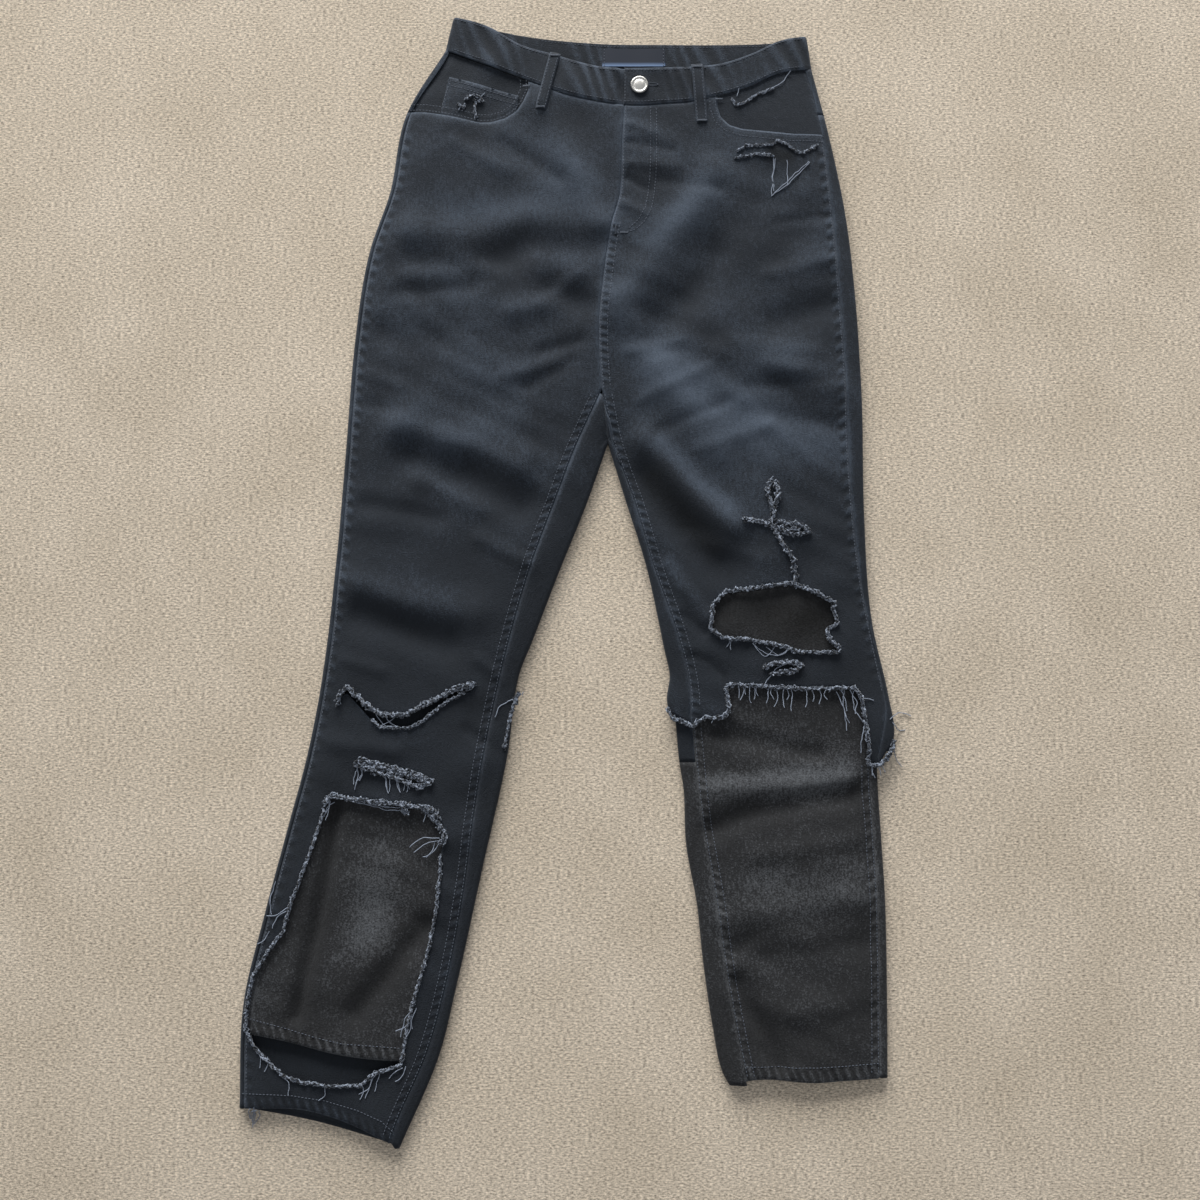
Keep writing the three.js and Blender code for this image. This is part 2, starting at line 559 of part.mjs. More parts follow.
// ---------------------------------------------------------------- waistband and its trim
const bandTop = (x, y) => outerTop(x, y) + 0.6;
function bandRow(s) {
  const left = [lerp(-161, -153, s), lerp(573 - OVERRUN, 609 + OVERRUN, s)];
  const right = [lerp(220, 215, s), lerp(552 - OVERRUN, 588 + OVERRUN, s)];
  const between = (seam, edge) => (x, y0) =>
    lerp(yAt(seam, x) - OVERRUN, yAt(edge, x) + OVERRUN, s) - y0;
  const front = between(FRONT_WAIST, FRONT_TOP);
  const behind = between(BACK_WAIST, BACK_TOP);
  return {
    a: { x: left[0], y: left[1], out: -1 },
    b: { x: right[0], y: right[1], out: 1 },
    columns: BAND_COLUMNS,
    bendTop: (x, u) => front(x, lerp(left[1], right[1], u)),
    bendUnder: (x, u) => behind(x, lerp(right[1], left[1], u)),
  };
}
const bandTube = hollow([bandRow(0), bandRow(0.5), bandRow(1)], bandTop, under, BAND_WALL);
const band = bandTube.outside
  .subtract(bandTube.inside)
  .subtract(waistUpper.below)
  .subtract(waistLower.below)
  .subtract(seamSides(byX(FRONT_TOP), HOLLOW_SPLIT, 40).above)
  .subtract(seamSides(byX(BACK_TOP), -5, HOLLOW_SPLIT).above);
const endCut = seamCut([[FLY_END, 480], [FLY_END, 590]], HOLLOW_SPLIT, 40);
const bandFront = band.intersect(prism(BAND_FRONT, HOLLOW_SPLIT, 40));
const stretch = (x0, x1) => prism([[x0, 480], [x1, 480], [x1, 590], [x0, 590]]);
const joined = raised(bandFront, 0.2 - BAND_WALL).intersect(stretch(FLY_END - 10, FLY_END - 1));
const below = raised(bandFront, -GAP - BAND_WALL).intersect(stretch(FLY_END - 4, TONGUE_END));
const shankHole = round(BUTTON_AT, SHANK_RADIUS + GAP, -5, 40);
const waistband = band
  .subtract(endCut)
  .subtract(shankHole.intersect(upper([[FLY_END, 500], [80, 500], [80, 560], [FLY_END, 560]])))
  .add(joined)
  .add(below);

function round([x, y], radius, low, high, sides = 16) {
  const geometry = new THREE.CylinderGeometry(radius, radius, high - low, sides);
  return solid(geometry.rotateX(Math.PI / 2).translate(x, y, (low + high) / 2));
}

// A pressed cap with a rolled rim, on a shank that goes through the band's end.
function makeButton() {
  const seat = bandTop(...BUTTON_AT) + GAP;
  const foot = seat - BAND_WALL - GAP;
  const profile = [
    [0, foot], [SHANK_RADIUS, foot], [SHANK_RADIUS, seat], [BUTTON_RADIUS - 0.8, seat],
    [BUTTON_RADIUS, seat + 0.8], [BUTTON_RADIUS, seat + 1.8], [BUTTON_RADIUS - 1, seat + 2.6],
    [BUTTON_RADIUS - 2.4, seat + 2], [0, seat + 2.3],
  ];
  const geometry = new THREE.LatheGeometry(profile.map(([r, z]) => new THREE.Vector2(r, z)), 24);
  return solid(geometry.rotateX(Math.PI / 2).translate(BUTTON_AT[0], BUTTON_AT[1], 0));
}

const label = panel(LABEL, (x, y) => under(y) + BAND_WALL + GAP + 0.8, 0.8);

// A strip of cloth between two points, as an outline.
function strip({ top, bottom, width }) {
  const along = new THREE.Vector2(bottom[0] - top[0], bottom[1] - top[1]).normalize();
  const [sx, sy] = [(-along.y * width) / 2, (along.x * width) / 2];
  return [
    [top[0] - sx, top[1] - sy], [top[0] + sx, top[1] + sy],
    [bottom[0] + sx, bottom[1] + sy], [bottom[0] - sx, bottom[1] - sy],
  ];
}
const frontLoopTop = (x, y) => {
  const onBand = smooth(y, yAt(FRONT_WAIST, x) - 16, yAt(FRONT_WAIST, x) + 2);
  return lerp(outerTop(x, y) + GAP, bandTop(x, y) + GAP, onBand) + WALL;
};
const frontLoops = FRONT_LOOPS.map((loop) => panel(strip(loop), frontLoopTop, WALL, 9));
const backLoops = BACK_LOOPS.map((loop) => panel(strip(loop), () => WALL, WALL, 70));

// ---------------------------------------------------------------- pockets
const rightUpper = outerPair.intersect(upper(rightFrontPlan)).subtract(seams);
const leftUpper = outerPair.intersect(upper(leftFrontPlan)).subtract(seams);
const facingRight = raised(rightUpper.intersect(prism(RIGHT_FACING)), -2 * LAYER);
const facingLeft = raised(leftUpper.intersect(prism(LEFT_FACING)), -LAYER);
const coinPocket = raised(rightUpper.intersect(prism(COIN_POCKET)), -LAYER);
function backPocket([cx, cy, degrees]) {
  const [w, h] = POCKET_SIZE;
  const corners = [[-w / 2, h / 2], [w / 2, h / 2], [w * 0.43, -h * 0.34], [0, -h / 2], [-w * 0.43, -h * 0.34]];
  const turn = THREE.MathUtils.degToRad(degrees);
  const [c, s] = [Math.cos(turn), Math.sin(turn)];
  const outline = corners.map(([x, y]) => [cx + x * c - y * s, cy + x * s + y * c]);
  return panel(outline, () => WALL, WALL, 200);
}
const [backPocketRight, backPocketLeft] = POCKET_PLACES.map(backPocket);

// ---------------------------------------------------------------- the scene
const jeans = new THREE.Group();
const MIDDLE = [-28.6, 41.33]; // the middle of the outline, moved to the origin
function piece(name, cutOut, cloth) {
  const [body] = cutOut.decompose().sort((p, q) => q.volume() - p.volume()); // drops thread-thin offcuts
  const made = new THREE.Mesh(geometryOf(body), new THREE.MeshStandardMaterial(CLOTHS[cloth]));
  made.name = name;
  jeans.add(made);
}
piece('front_right', frontRight, 'black');
piece('front_left', frontLeft, 'black');
piece('back_right', backRight, 'black');
piece('back_left', backLeft, 'black');
piece('yoke_right', yokeRight, 'black');
piece('yoke_left', yokeLeft, 'black');
piece('under_leg_front_right', liningFrontRight, 'grey');
piece('under_leg_back_right', liningBackRight, 'grey');
piece('under_leg_front_left', liningFrontLeft, 'grey');
piece('under_leg_back_left', liningBackLeft, 'grey');
piece('under_leg_back_left_upper', liningBackUpperLeft, 'black');
piece('pocket_facing_right', facingRight, 'black');
piece('pocket_facing_left', facingLeft, 'black');
piece('coin_pocket', coinPocket, 'black');
piece('back_pocket_right', backPocketRight, 'black');
piece('back_pocket_left', backPocketLeft, 'black');
piece('waistband', waistband, 'black');
piece('waist_label', label, 'label');
piece('waist_button', makeButton(), 'metal');
frontLoops.forEach((loop, i) => piece(`belt_loop_front_${i + 1}`, loop, 'black'));
backLoops.forEach((loop, i) => piece(`belt_loop_back_${i + 1}`, loop, 'black'));
jeans.position.set(-MIDDLE[0], -MIDDLE[1], 0);

export default jeans;
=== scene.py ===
"""Ripped high-waisted jeans, laid out flat with the front up. The washed-black outer pair is cut
away at one knee and worn through at the other shin, and a grey second pair of legs shows."""
import math

import bmesh
import bpy
import numpy as np
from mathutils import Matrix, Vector, kdtree
from mathutils.geometry import delaunay_2d_cdt


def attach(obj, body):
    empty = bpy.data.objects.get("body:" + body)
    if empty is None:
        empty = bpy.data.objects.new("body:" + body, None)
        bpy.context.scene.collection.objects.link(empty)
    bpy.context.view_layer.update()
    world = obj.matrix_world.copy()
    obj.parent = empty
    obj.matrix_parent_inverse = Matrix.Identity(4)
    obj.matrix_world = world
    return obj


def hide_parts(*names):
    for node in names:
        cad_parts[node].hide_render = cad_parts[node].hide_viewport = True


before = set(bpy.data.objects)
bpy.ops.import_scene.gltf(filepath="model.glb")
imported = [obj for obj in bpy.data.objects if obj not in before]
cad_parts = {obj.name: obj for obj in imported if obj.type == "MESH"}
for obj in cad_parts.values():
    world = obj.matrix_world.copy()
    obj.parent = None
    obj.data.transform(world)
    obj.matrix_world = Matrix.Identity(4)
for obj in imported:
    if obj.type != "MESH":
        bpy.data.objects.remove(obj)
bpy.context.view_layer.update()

# ---------------------------------------------------------------- the view
# The jeans lie on a plain pale floor, seen from almost straight above, a little from the hems.
# Soft daylight comes in low from the waist end, with a weak fill from overhead.
PLAN_TO_FRAME = np.array([28.6, -41.33, 0.0])  # the cutting plan's origin to the frame's, mm


def in_frame(points):
    """Millimetres in the cutting plan to metres in the frame."""
    return (np.asarray(points, float) + PLAN_TO_FRAME) / 1000


def look(obj, place, target):
    obj.location = place
    obj.rotation_euler = (Vector(target) - Vector(place)).to_track_quat("-Z", "Y").to_euler()


VIEW_DISTANCE = 1300
VIEW_LEAN = math.radians(6)
aim = in_frame((0, 0, 0))
eye = in_frame((0, -VIEW_DISTANCE * math.sin(VIEW_LEAN), VIEW_DISTANCE * math.cos(VIEW_LEAN)))
camera = bpy.data.objects.new("camera", bpy.data.cameras.new("camera"))
camera.data.lens = 39.0
look(camera, eye, aim)
bpy.context.collection.objects.link(camera)
bpy.context.scene.camera = camera


def soft_light(name, place, width, height, power, colour):
    light = bpy.data.lights.new(name, "AREA")
    light.shape = "RECTANGLE"
    light.size, light.size_y = width, height
    light.energy = power
    light.color = colour
    lamp = bpy.data.objects.new(name, light)
    look(lamp, place, (0, 0, 0))
    bpy.context.collection.objects.link(lamp)


soft_light("window_light", (-1.35, 8.1, 2.9), 7.3, 3.5, 1440, (1.0, 0.985, 0.96))
soft_light("fill_light", (0.2, -0.3, 2.6), 2.5, 2.5, 11, (0.97, 0.98, 1.0))
world = bpy.data.worlds.new("room")
world.use_nodes = True
world.node_tree.nodes["Background"].inputs["Color"].default_value = (0.92, 0.94, 0.98, 1)
world.node_tree.nodes["Background"].inputs["Strength"].default_value = 0.25
bpy.context.scene.world = world
bpy.context.scene.view_settings.view_transform = "Standard"


def node(tree, kind, links=(), **settings):
    """Adds a node; settings name its properties or its inputs, links are (input, source)."""
    made = tree.nodes.new(kind)
    for name, value in settings.items():
        if hasattr(made, name):
            setattr(made, name, value)
        else:
            made.inputs[name.replace("_", " ")].default_value = value
    for name, source in links:
        tree.links.new(source, made.inputs[name])
    return made


def linear(hex_colour):
    """An sRGB hex colour as a linear RGBA value."""
    parts = [int(hex_colour[i : i + 2], 16) / 255 for i in (0, 2, 4)]
    return tuple(c / 12.92 if c <= 0.04045 else ((c + 0.055) / 1.055) ** 2.4 for c in parts) + (1,)


def new_material(name):
    made = bpy.data.materials.new(name)
    made.use_nodes = True
    return made, made.node_tree, made.node_tree.nodes["Principled BSDF"]


# Floor: worn pale screed, matt, clouded, with a fine sandy grain.
floor_finish, tree, shader = new_material("pale_screed")
place = node(tree, "ShaderNodeTexCoord").outputs["Object"]
cloud = node(tree, "ShaderNodeTexNoise", [("Vector", place)], Scale=9.0, Detail=3.0)
tone = node(tree, "ShaderNodeMix", [("Factor", cloud.outputs["Fac"])], data_type="RGBA")
tone.inputs["A"].default_value = linear("bfb19c")
tone.inputs["B"].default_value = linear("e0d3c1")
brushed = node(tree, "ShaderNodeMapping", [("Vector", place)])
brushed.inputs["Scale"].default_value = (0.55, 1.2, 1.0)
sand = node(tree, "ShaderNodeTexNoise", [("Vector", brushed.outputs[0])],
            Scale=520.0, Detail=4.0, Roughness=0.75)
grains = node(tree, "ShaderNodeMapRange", [("Value", sand.outputs["Fac"])])
grains.inputs["From Min"].default_value = 0.3
grains.inputs["From Max"].default_value = 0.7
grains.inputs["To Min"].default_value = 0.15
grains.inputs["To Max"].default_value = 1.57
sanded = node(tree, "ShaderNodeVectorMath",
              [(0, tone.outputs["Result"]), ("Scale", grains.outputs["Result"])], operation="SCALE")
tree.links.new(sanded.outputs[0], shader.inputs["Base Color"])
shader.inputs["Roughness"].default_value = 0.85
floor_mesh = bpy.data.meshes.new("floor")
floor_mesh.from_pydata([(-6, -6, 0), (6, -6, 0), (6, 6, 0), (-6, 6, 0)], [], [(0, 1, 2, 3)])
floor_mesh.materials.append(floor_finish)
floor = bpy.data.objects.new("floor", floor_mesh)
bpy.context.collection.objects.link(floor)

# ---------------------------------------------------------------- cloth of the outer pair
# Stretch cotton twill dyed black and stone-washed: matt, with blue-grey fading where it rubs,
# along seams and round each rip. The dye is uneven over a few centimetres. The second pair's
# denim has a white weft that shows as salt and pepper.


def denim(name, dark, mid, faded, grain, grain_strength, warm):
    """Woven cotton whose dye wears off: the faded colour follows the cloth's wear_and_shade attribute, which
    holds real fading and painted light and shade.
    """
    made, tree, shader = new_material(name)
    place = node(tree, "ShaderNodeTexCoord").outputs["Object"]
    faded_and_shaded = node(tree, "ShaderNodeAttribute", attribute_name="wear_and_shade").outputs["Fac"]
    cloudy = node(tree, "ShaderNodeTexNoise", [("Vector", place)], Scale=16.0, Detail=6.0, Roughness=0.6)
    streaks = node(tree, "ShaderNodeMapping", [("Vector", place)])
    streaks.inputs["Scale"].default_value = (420, 160, 300)
    slub = node(tree, "ShaderNodeTexNoise", [("Vector", streaks.outputs[0])], Scale=1.0, Detail=2.0)
    pepper = node(tree, "ShaderNodeTexNoise", [("Vector", place)], Scale=grain, Detail=2.0)
    amount = node(tree, "ShaderNodeMath", [(0, faded_and_shaded)], operation="MULTIPLY_ADD")
    amount.inputs[1].default_value = 1.0
    patchy = node(tree, "ShaderNodeMath", [(0, cloudy.outputs["Fac"])], operation="MULTIPLY_ADD")
    patchy.inputs[1].default_value = 0.36
    patchy.inputs[2].default_value = -0.18
    tree.links.new(patchy.outputs[0], amount.inputs[2])
    speck = node(tree, "ShaderNodeMath", [(0, pepper.outputs["Fac"])], operation="MULTIPLY_ADD")
    speck.inputs[1].default_value = grain_strength
    speck.inputs[2].default_value = -grain_strength / 2
    line = node(tree, "ShaderNodeMath", [(0, slub.outputs["Fac"])], operation="MULTIPLY_ADD")
    line.inputs[1].default_value = grain_strength * 0.6
    tree.links.new(speck.outputs[0], line.inputs[2])
    total = node(tree, "ShaderNodeMath", [(0, amount.outputs[0]), (1, line.outputs[0])], operation="ADD")
    ramp = node(tree, "ShaderNodeValToRGB", [("Fac", total.outputs[0])])
    ramp.color_ramp.elements[0].position = 0.0
    ramp.color_ramp.elements[0].color = linear(dark)
    ramp.color_ramp.elements[1].position = 1.0
    ramp.color_ramp.elements[1].color = linear(faded)
    middle = ramp.color_ramp.elements.new(0.42)
    middle.color = linear(mid)
    tree.links.new(ramp.outputs["Color"], shader.inputs["Base Color"])
    shader.inputs["Roughness"].default_value = 0.9
    shader.inputs["Specular IOR Level"].default_value = 0.25
    shader.inputs["Sheen Weight"].default_value = 0.25
    shader.inputs["Sheen Roughness"].default_value = 0.5
    shader.inputs["Sheen Tint"].default_value = linear(warm)
    height = node(tree, "ShaderNodeMath", [(0, pepper.outputs["Fac"]), (1, slub.outputs["Fac"])],
                  operation="ADD")
    bump = node(tree, "ShaderNodeBump", [("Height", height.outputs[0])], Strength=0.75, Distance=0.0008)
    tree.links.new(bump.outputs[0], shader.inputs["Normal"])
    return made


black_denim = denim("washed_black_twill", "0f1215", "22272e", "5a6676", 800.0, 0.34, "9da6b2")
grey_denim = denim("salt_and_pepper_denim", "121212", "28292b", "6f7378", 620.0, 0.62, "a9acb2")

# ---------------------------------------------------------------- the outer pair's fronts
# Two front panels of black twill, sewn to the backs down the outseams and inseams and to each
# other at the centre front. The right one is worn through at the knee and shin, the left one
# has a hole above the knee and is cut off below it. Outlines are in mm, x to the wearer's left.
WALL = 1.2
FOLD = 4.0  # radius of the side folds
FULL = 60.0  # distance in from a fold where the cloth reaches its full height
SEAT_LIFT = 1.7  # the seat lies on its back pockets
RELIEF = 2.0  # how much higher the visible folds stand than on the plain solids
BODY_HEIGHT = [(600, 14), (480, 17), (300, 17), (100, 14.5), (-100, 13), (-400, 12), (-520, 11)]
APEX = (8, 158)
CROTCH = (2, 212)
RIGHT_OUTER = [
    (-161, 573), (-200, 505), (-216, 420), (-236, 356), (-249, 263), (-256, 152), (-263, 45),
    (-275, -78), (-288, -154), (-306, -227), (-326, -308), (-344, -392), (-345, -489),
]
RIGHT_INNER = [
    APEX, (-14, 95), (-41, 27), (-68, -44), (-80, -75), (-91, -154), (-114, -261), (-139, -377),
    (-155, -442), (-191, -526),
]
LEFT_OUTER = [
    (220, 552), (237, 479), (252, 396), (260, 313), (265, 206), (265, 81), (270, -19), (285, -95),
    (290, -134), (283, -157), (280, -195),
]
LEFT_INNER = [
    APEX, (26, 99), (46, 34), (64, -51), (69, -76), (66, -97), (67, -107), (72, -120), (80, -195),
]
RIGHT_INSEAM = [
    CROTCH, (-25, 152), (-41, 109), (-66, 41), (-85, -23), (-105, -108), (-120, -192), (-133, -292),
    (-149, -377), (-166, -438), (-193, -500), (-205, -535),
]
LEFT_INSEAM = [
    CROTCH, (14, 156), (34, 99), (53, 34), (75, -30), (86, -73), (89, -98), (89, -113), (93, -163),
    (97, -200),
]
RIGHT_OUTSEAM = [(-155, 600)] + [(x + 5, y) for x, y in RIGHT_OUTER] + [(-340, -510)]
LEFT_OUTSEAM = [
    (211, 556), (218.5, 532), (224, 508), (228, 487), (232, 455), (240, 364), (247, 249), (251, 116),
    (260, 16), (275, -66), (281, -100), (281, -113), (274, -150), (271, -200),
]
CENTRE_FRONT = [(25, 511), (23, 473), (20, 414), (12, 384), (3, 322), (-1, 277), CROTCH, APEX]
CENTRE_BACK = [(36, 546), (28, 480), (16, 400), (6, 300), CROTCH, APEX]
FRONT_WAIST = [
    (-161, 573), (-124, 557), (-83, 541), (-48, 526), (-15, 517), (25, 511), (60, 512), (96, 515),
    (150, 529), (185, 545), (220, 552),
]
BACK_WAIST = [(-161, 573), (-60, 557), (36, 546), (130, 547), (220, 552)]
FRONT_HEM = [(-345, -489), (-281, -490), (-251, -498), (-208, -517), (-191, -526)]
BACK_HEM = [(-345, -489), (-274, -502), (-216, -518), (-191, -526)]

# Folds pressed into the cloth by the way it was laid down: where each runs, half-width, height
FOLDS = [
    ([(-190, 377), (-130, 370), (-70, 390), (-10, 378)], 18, 2.1),
    ([(-190, 348), (-130, 334), (-70, 360), (-15, 354)], 17, -1.6),
    ([(-60, 345), (0, 340)], 19, 2.0), ([(-48, 312), (-8, 300)], 16, -2.2),
    ([(-215, 270), (-165, 262)], 19, -2.2), ([(-200, 172), (-135, 153), (-80, 138)], 18, 3.0),
    ([(-185, 146), (-135, 126), (-80, 96)], 17, -2.8),
    ([(-250, 20), (-200, 0), (-125, -15)], 19, 2.8), ([(-238, -16), (-150, -42)], 17, -2.8),
    ([(-60, 512), (-35, 450), (0, 385)], 16, 2.2),
    ([(118, 440), (95, 398), (45, 334), (20, 302)], 20, 2.8),
    ([(116, 350), (95, 314), (62, 284), (52, 262)], 20, -3.0),
    ([(10, 300), (70, 215), (118, 150)], 20, 2.5),
    ([(45, 160), (75, 122), (105, 92), (132, 72)], 15, 3.0),
    ([(42, 122), (68, 86), (100, 52), (114, 36)], 18, -3.1), ([(235, 300), (180, 280)], 16, -1.7),
    ([(-88, 292), (-48, 300)], 12, 1.8), ([(175, 235), (240, 215)], 15, 1.6),
]
CREASES = [
    ([(30, 470), (75, 462)], 5, -0.9), ([(28, 448), (80, 444)], 5, 0.8),
    ([(60, 430), (120, 420)], 6, -0.8), ([(-100, 470), (-40, 430)], 7, -0.9),
    ([(-150, 470), (-95, 440)], 8, 1.0), ([(-200, 330), (-120, 335)], 9, 1.0),
    ([(-205, 312), (-130, 316)], 8, -1.0), ([(-60, 250), (-20, 262)], 7, -1.2),
    ([(-95, 225), (-40, 240)], 8, 1.1), ([(-235, 95), (-160, 80)], 9, -1.0),
    ([(-120, 60), (-70, 35)], 8, 1.2), ([(170, 330), (232, 345)], 8, 1.0),
    ([(180, 385), (236, 392)], 6, -0.8), ([(120, 250), (200, 230)], 11, 1.1),
    ([(150, 190), (235, 175)], 10, -1.1), ([(66, 34), (84, 8), (106, -16)], 8, 1.2),
    ([(84, -18), (104, -34)], 6, -1.2), ([(-270, -140), (-200, -150)], 8, 0.9),
    ([(-130, -130), (-100, -150)], 6, -0.9), ([(40, 200), (110, 235)], 6, 0.8),
    ([(60, 170), (130, 200)], 6, -0.8), ([(100, 150), (170, 175)], 7, 0.8),
    ([(130, 260), (215, 250)], 9, 0.9), ([(150, 215), (230, 222)], 8, -0.9),
    ([(30, 250), (80, 262)], 6, 0.8), ([(90, 60), (160, 40)], 8, 0.8),
    ([(28, 432), (50, 420)], 5, -1.0), ([(24, 405), (45, 395)], 5, 0.9),
    ([(30, 490), (55, 480)], 5, 0.8), ([(-20, 330), (-60, 300)], 8, 0.9),
    ([(-30, 240), (-75, 215)], 7, -1.0), ([(-150, 350), (-100, 330)], 9, 0.9),
    ([(-240, 230), (-200, 215)], 7, 0.9), ([(-245, 200), (-205, 190)], 7, -0.9),
    ([(-180, 120), (-120, 90)], 9, 1.0),
    ([(90, -56), (109, -62), (122, -77), (127, -100)], 3.5, -0.9),
    ([(-255, -60), (-215, -72)], 6, 0.8), ([(-120, -60), (-95, -80)], 6, 1.0),
]


def smooth_through(points, t):
    """Height of a smooth curve through (t, value) points, level past both ends."""
    p = np.array(sorted(points), float)
    t = np.clip(t, p[0, 0], p[-1, 0])
    i = np.clip(np.searchsorted(p[:, 0], t) - 1, 0, len(p) - 2)
    span = np.diff(p[:, 0])
    chord = np.diff(p[:, 1]) / span
    tangent = np.concatenate([chord[:1], (chord[:-1] + chord[1:]) / 2, chord[-1:]])
    s = (t - p[i, 0]) / span[i]
    bend = (tangent[i] - chord[i]) * (1 - s) - (tangent[i + 1] - chord[i]) * s
    return p[i, 1] + span[i] * s * (chord[i] + (1 - s) * bend)


def x_at(line, y):
    return smooth_through([(py, px) for px, py in line], y)


def distance_to(run, x, y):
    nearest = np.full(np.shape(x), 1e9)
    for (ax, ay), (bx, by) in zip(run, run[1:]):
        dx, dy = bx - ax, by - ay
        s = np.clip(((x - ax) * dx + (y - ay) * dy) / (dx * dx + dy * dy), 0, 1)
        nearest = np.minimum(nearest, np.hypot(x - ax - s * dx, y - ay - s * dy))
    return nearest


def fold_height(folds, x, y):
    return sum(h * np.exp(-((distance_to(run, x, y) / w) ** 2)) for run, w, h in folds)


def rumple(x, y):
    """The small soft waves that cloth keeps when it is only smoothed down by hand."""
    drift = 1.4 * np.sin(x / 47 + y / 83) + 1.1 * np.sin(y / 61 - x / 97 + 2)
    waves = 1.0 * np.sin((0.6 * x + 2.0 * y) / 30 + drift) * (0.5 + 0.5 * np.sin(x / 66 - y / 90 + 1))
    slanting = 0.7 * np.sin((1.3 * x - 1.5 * y) / 22 - 1.3 * drift)
    waves = waves + slanting * (0.5 + 0.5 * np.sin(y / 57 + x / 120))
    waves = waves + 0.4 * np.sin((1.1 * x + 2.4 * y) / 13 + 2 * drift) * (0.5 + 0.5 * np.sin(x / 39 + y / 44))
    return waves


def ladder(seams, x, y):
    """The rungs that a felled seam pulls into the cloth beside it, -1 to 1."""
    total = np.zeros(np.shape(x))
    for line, side, y_low, y_high, pitch in seams:
        off = (x - x_at(line, y)) * side
        band = ease(off, 0.8, 2.6) * ease(-off, -9.6, -7.6)
        uneven = 0.75 + 0.25 * np.sin(y / 23.0) * np.sin(y / 9.1 + 1)
        rung = np.cos(2 * math.pi * (y / pitch + 0.12 * np.sin(y / 31.0)) + 0.25 * off)
        total = total + band * rung * uneven * (y > y_low) * (y < y_high)
    return total


def hem_rungs(hem, x, y, depth=11.0):
    """The same pull along a topstitched hem."""
    up = y - smooth_through(hem, x)
    band = ease(up, 0.5, 2.5) * ease(-up, -depth, 2.5 - depth)
    return band * np.cos(2 * math.pi * (x / 8.6 + 0.15 * np.sin(x / 27.0)) + 0.3 * up)


def ease(t, low, high):
    s = np.clip((t - low) / (high - low), 0, 1)
    return s * s * (3 - 2 * s)


def seat_lift(y):
    return SEAT_LIFT * ease(y, 230, 300)


def laid_height(x, y, left, right, folds, apex=False):
    """Height of an upper layer: low at the side folds, full in the middle, folds added."""
    inward = np.minimum(x - left, right - x)
    if apex:
        from_apex = np.hypot(x - APEX[0], y - APEX[1])
        inward = np.where(y > APEX[1], np.minimum(inward, from_apex), inward)
    d = np.clip(inward / FULL, 0, 1)
    edge = seat_lift(y) + 2 * FOLD
    rise = (smooth_through(BODY_HEIGHT, y) - edge) * (1 - (1 - d) ** 3)
    return edge + rise + (RELIEF * fold_height(folds, x, y) + rumple(x, y)) * np.minimum(1, 2.5 * d)


def outer_top(x, y, folds=FOLDS + CREASES):
    x, y = np.asarray(x, float), np.asarray(y, float)
    hips, on_right = y > APEX[1], x < APEX[0]
    left = np.where(hips | on_right, x_at(RIGHT_OUTER, y), x_at(LEFT_INNER, y))
    right = np.where(hips | ~on_right, x_at(LEFT_OUTER, y), x_at(RIGHT_INNER, y))
    return laid_height(x, y, left, right, folds, apex=True)


def resampled(line, step):
    """Points along a line at about one step apart."""
    p = np.array(line, float)
    length = np.concatenate([[0], np.cumsum(np.hypot(*np.diff(p, axis=0).T))])
    count = max(2, round(length[-1] / step) + 1)
    t = np.linspace(0, length[-1], count)
    return np.column_stack([np.interp(t, length, p[:, 0]), np.interp(t, length, p[:, 1])])


def across(line, step, shift=0.0):
    """Points along a line that runs from side to side, smoothed."""
    x = np.linspace(line[0][0], line[-1][0], max(2, round(abs(line[-1][0] - line[0][0]) / step)))
    return np.column_stack([x, smooth_through(line, x) + shift])


def inside(outline, points):
    x, y = points[:, 0], points[:, 1]
    hit = np.zeros(len(points), bool)
    for (ax, ay), (bx, by) in zip(outline, np.roll(outline, -1, axis=0)):
        if ay != by:
            hit ^= ((ay > y) != (by > y)) & (x < (bx - ax) * (y - ay) / (by - ay) + ax)
    return hit


EDGE_BAND = 12.0  # finer mesh this close to an edge or seam


def fill(outline, holes, step):
    """Triangles over a plan region, finer near its edges, and each point's way in from an edge."""
    rings = [resampled(np.vstack([ring, ring[:1]]), step)[:-1] for ring in [outline, *holes]]
    edge = np.vstack(rings)
    near = kdtree.KDTree(len(edge))
    for i, (x, y) in enumerate(edge):
        near.insert((x, y, 0), i)
    near.balance()
    low, high = edge.min(0), edge.max(0)
    columns = np.arange(low[0], high[0], step)
    rows = np.arange(low[1], high[1], step * 0.866)
    grid_x, grid_y = np.meshgrid(columns, rows)
    odd = (np.arange(len(rows)) % 2)[:, None]
    grid_x = grid_x + odd * step / 2
    coarse = (odd == 0) & ((np.arange(len(columns)) + np.arange(len(rows))[:, None] // 2) % 2 == 0)
    points = np.column_stack([grid_x.ravel(), grid_y.ravel()])
    kept = inside(rings[0], points)
    for hole in rings[1:]:
        kept &= ~inside(hole, points)
    points, coarse = points[kept], coarse.ravel()[kept]
    way_in = np.array([near.find((x, y, 0))[2] for x, y in points])
    kept = (way_in > step * 0.6) & ((way_in < EDGE_BAND) | coarse)
    points = np.vstack([edge, points[kept]])
    way_in = np.concatenate([np.zeros(len(edge)), way_in[kept]])
    links, start = [], 0
    for ring in rings:
        n = len(ring)
        links += [(start + i, start + (i + 1) % n) for i in range(n)]
        start += n
    made = delaunay_2d_cdt([Vector(p) for p in points], links, [], 0, 1e-5)
    out_points = np.array([tuple(v) for v in made[0]])
    faces = np.array(made[2])
    centre = out_points[faces].mean(1)
    kept = inside(rings[0], centre)
    for hole in rings[1:]:
        kept &= ~inside(hole, centre)
    source = [o[0] if o else 0 for o in made[3]]
    return out_points, faces[kept], way_in[source]


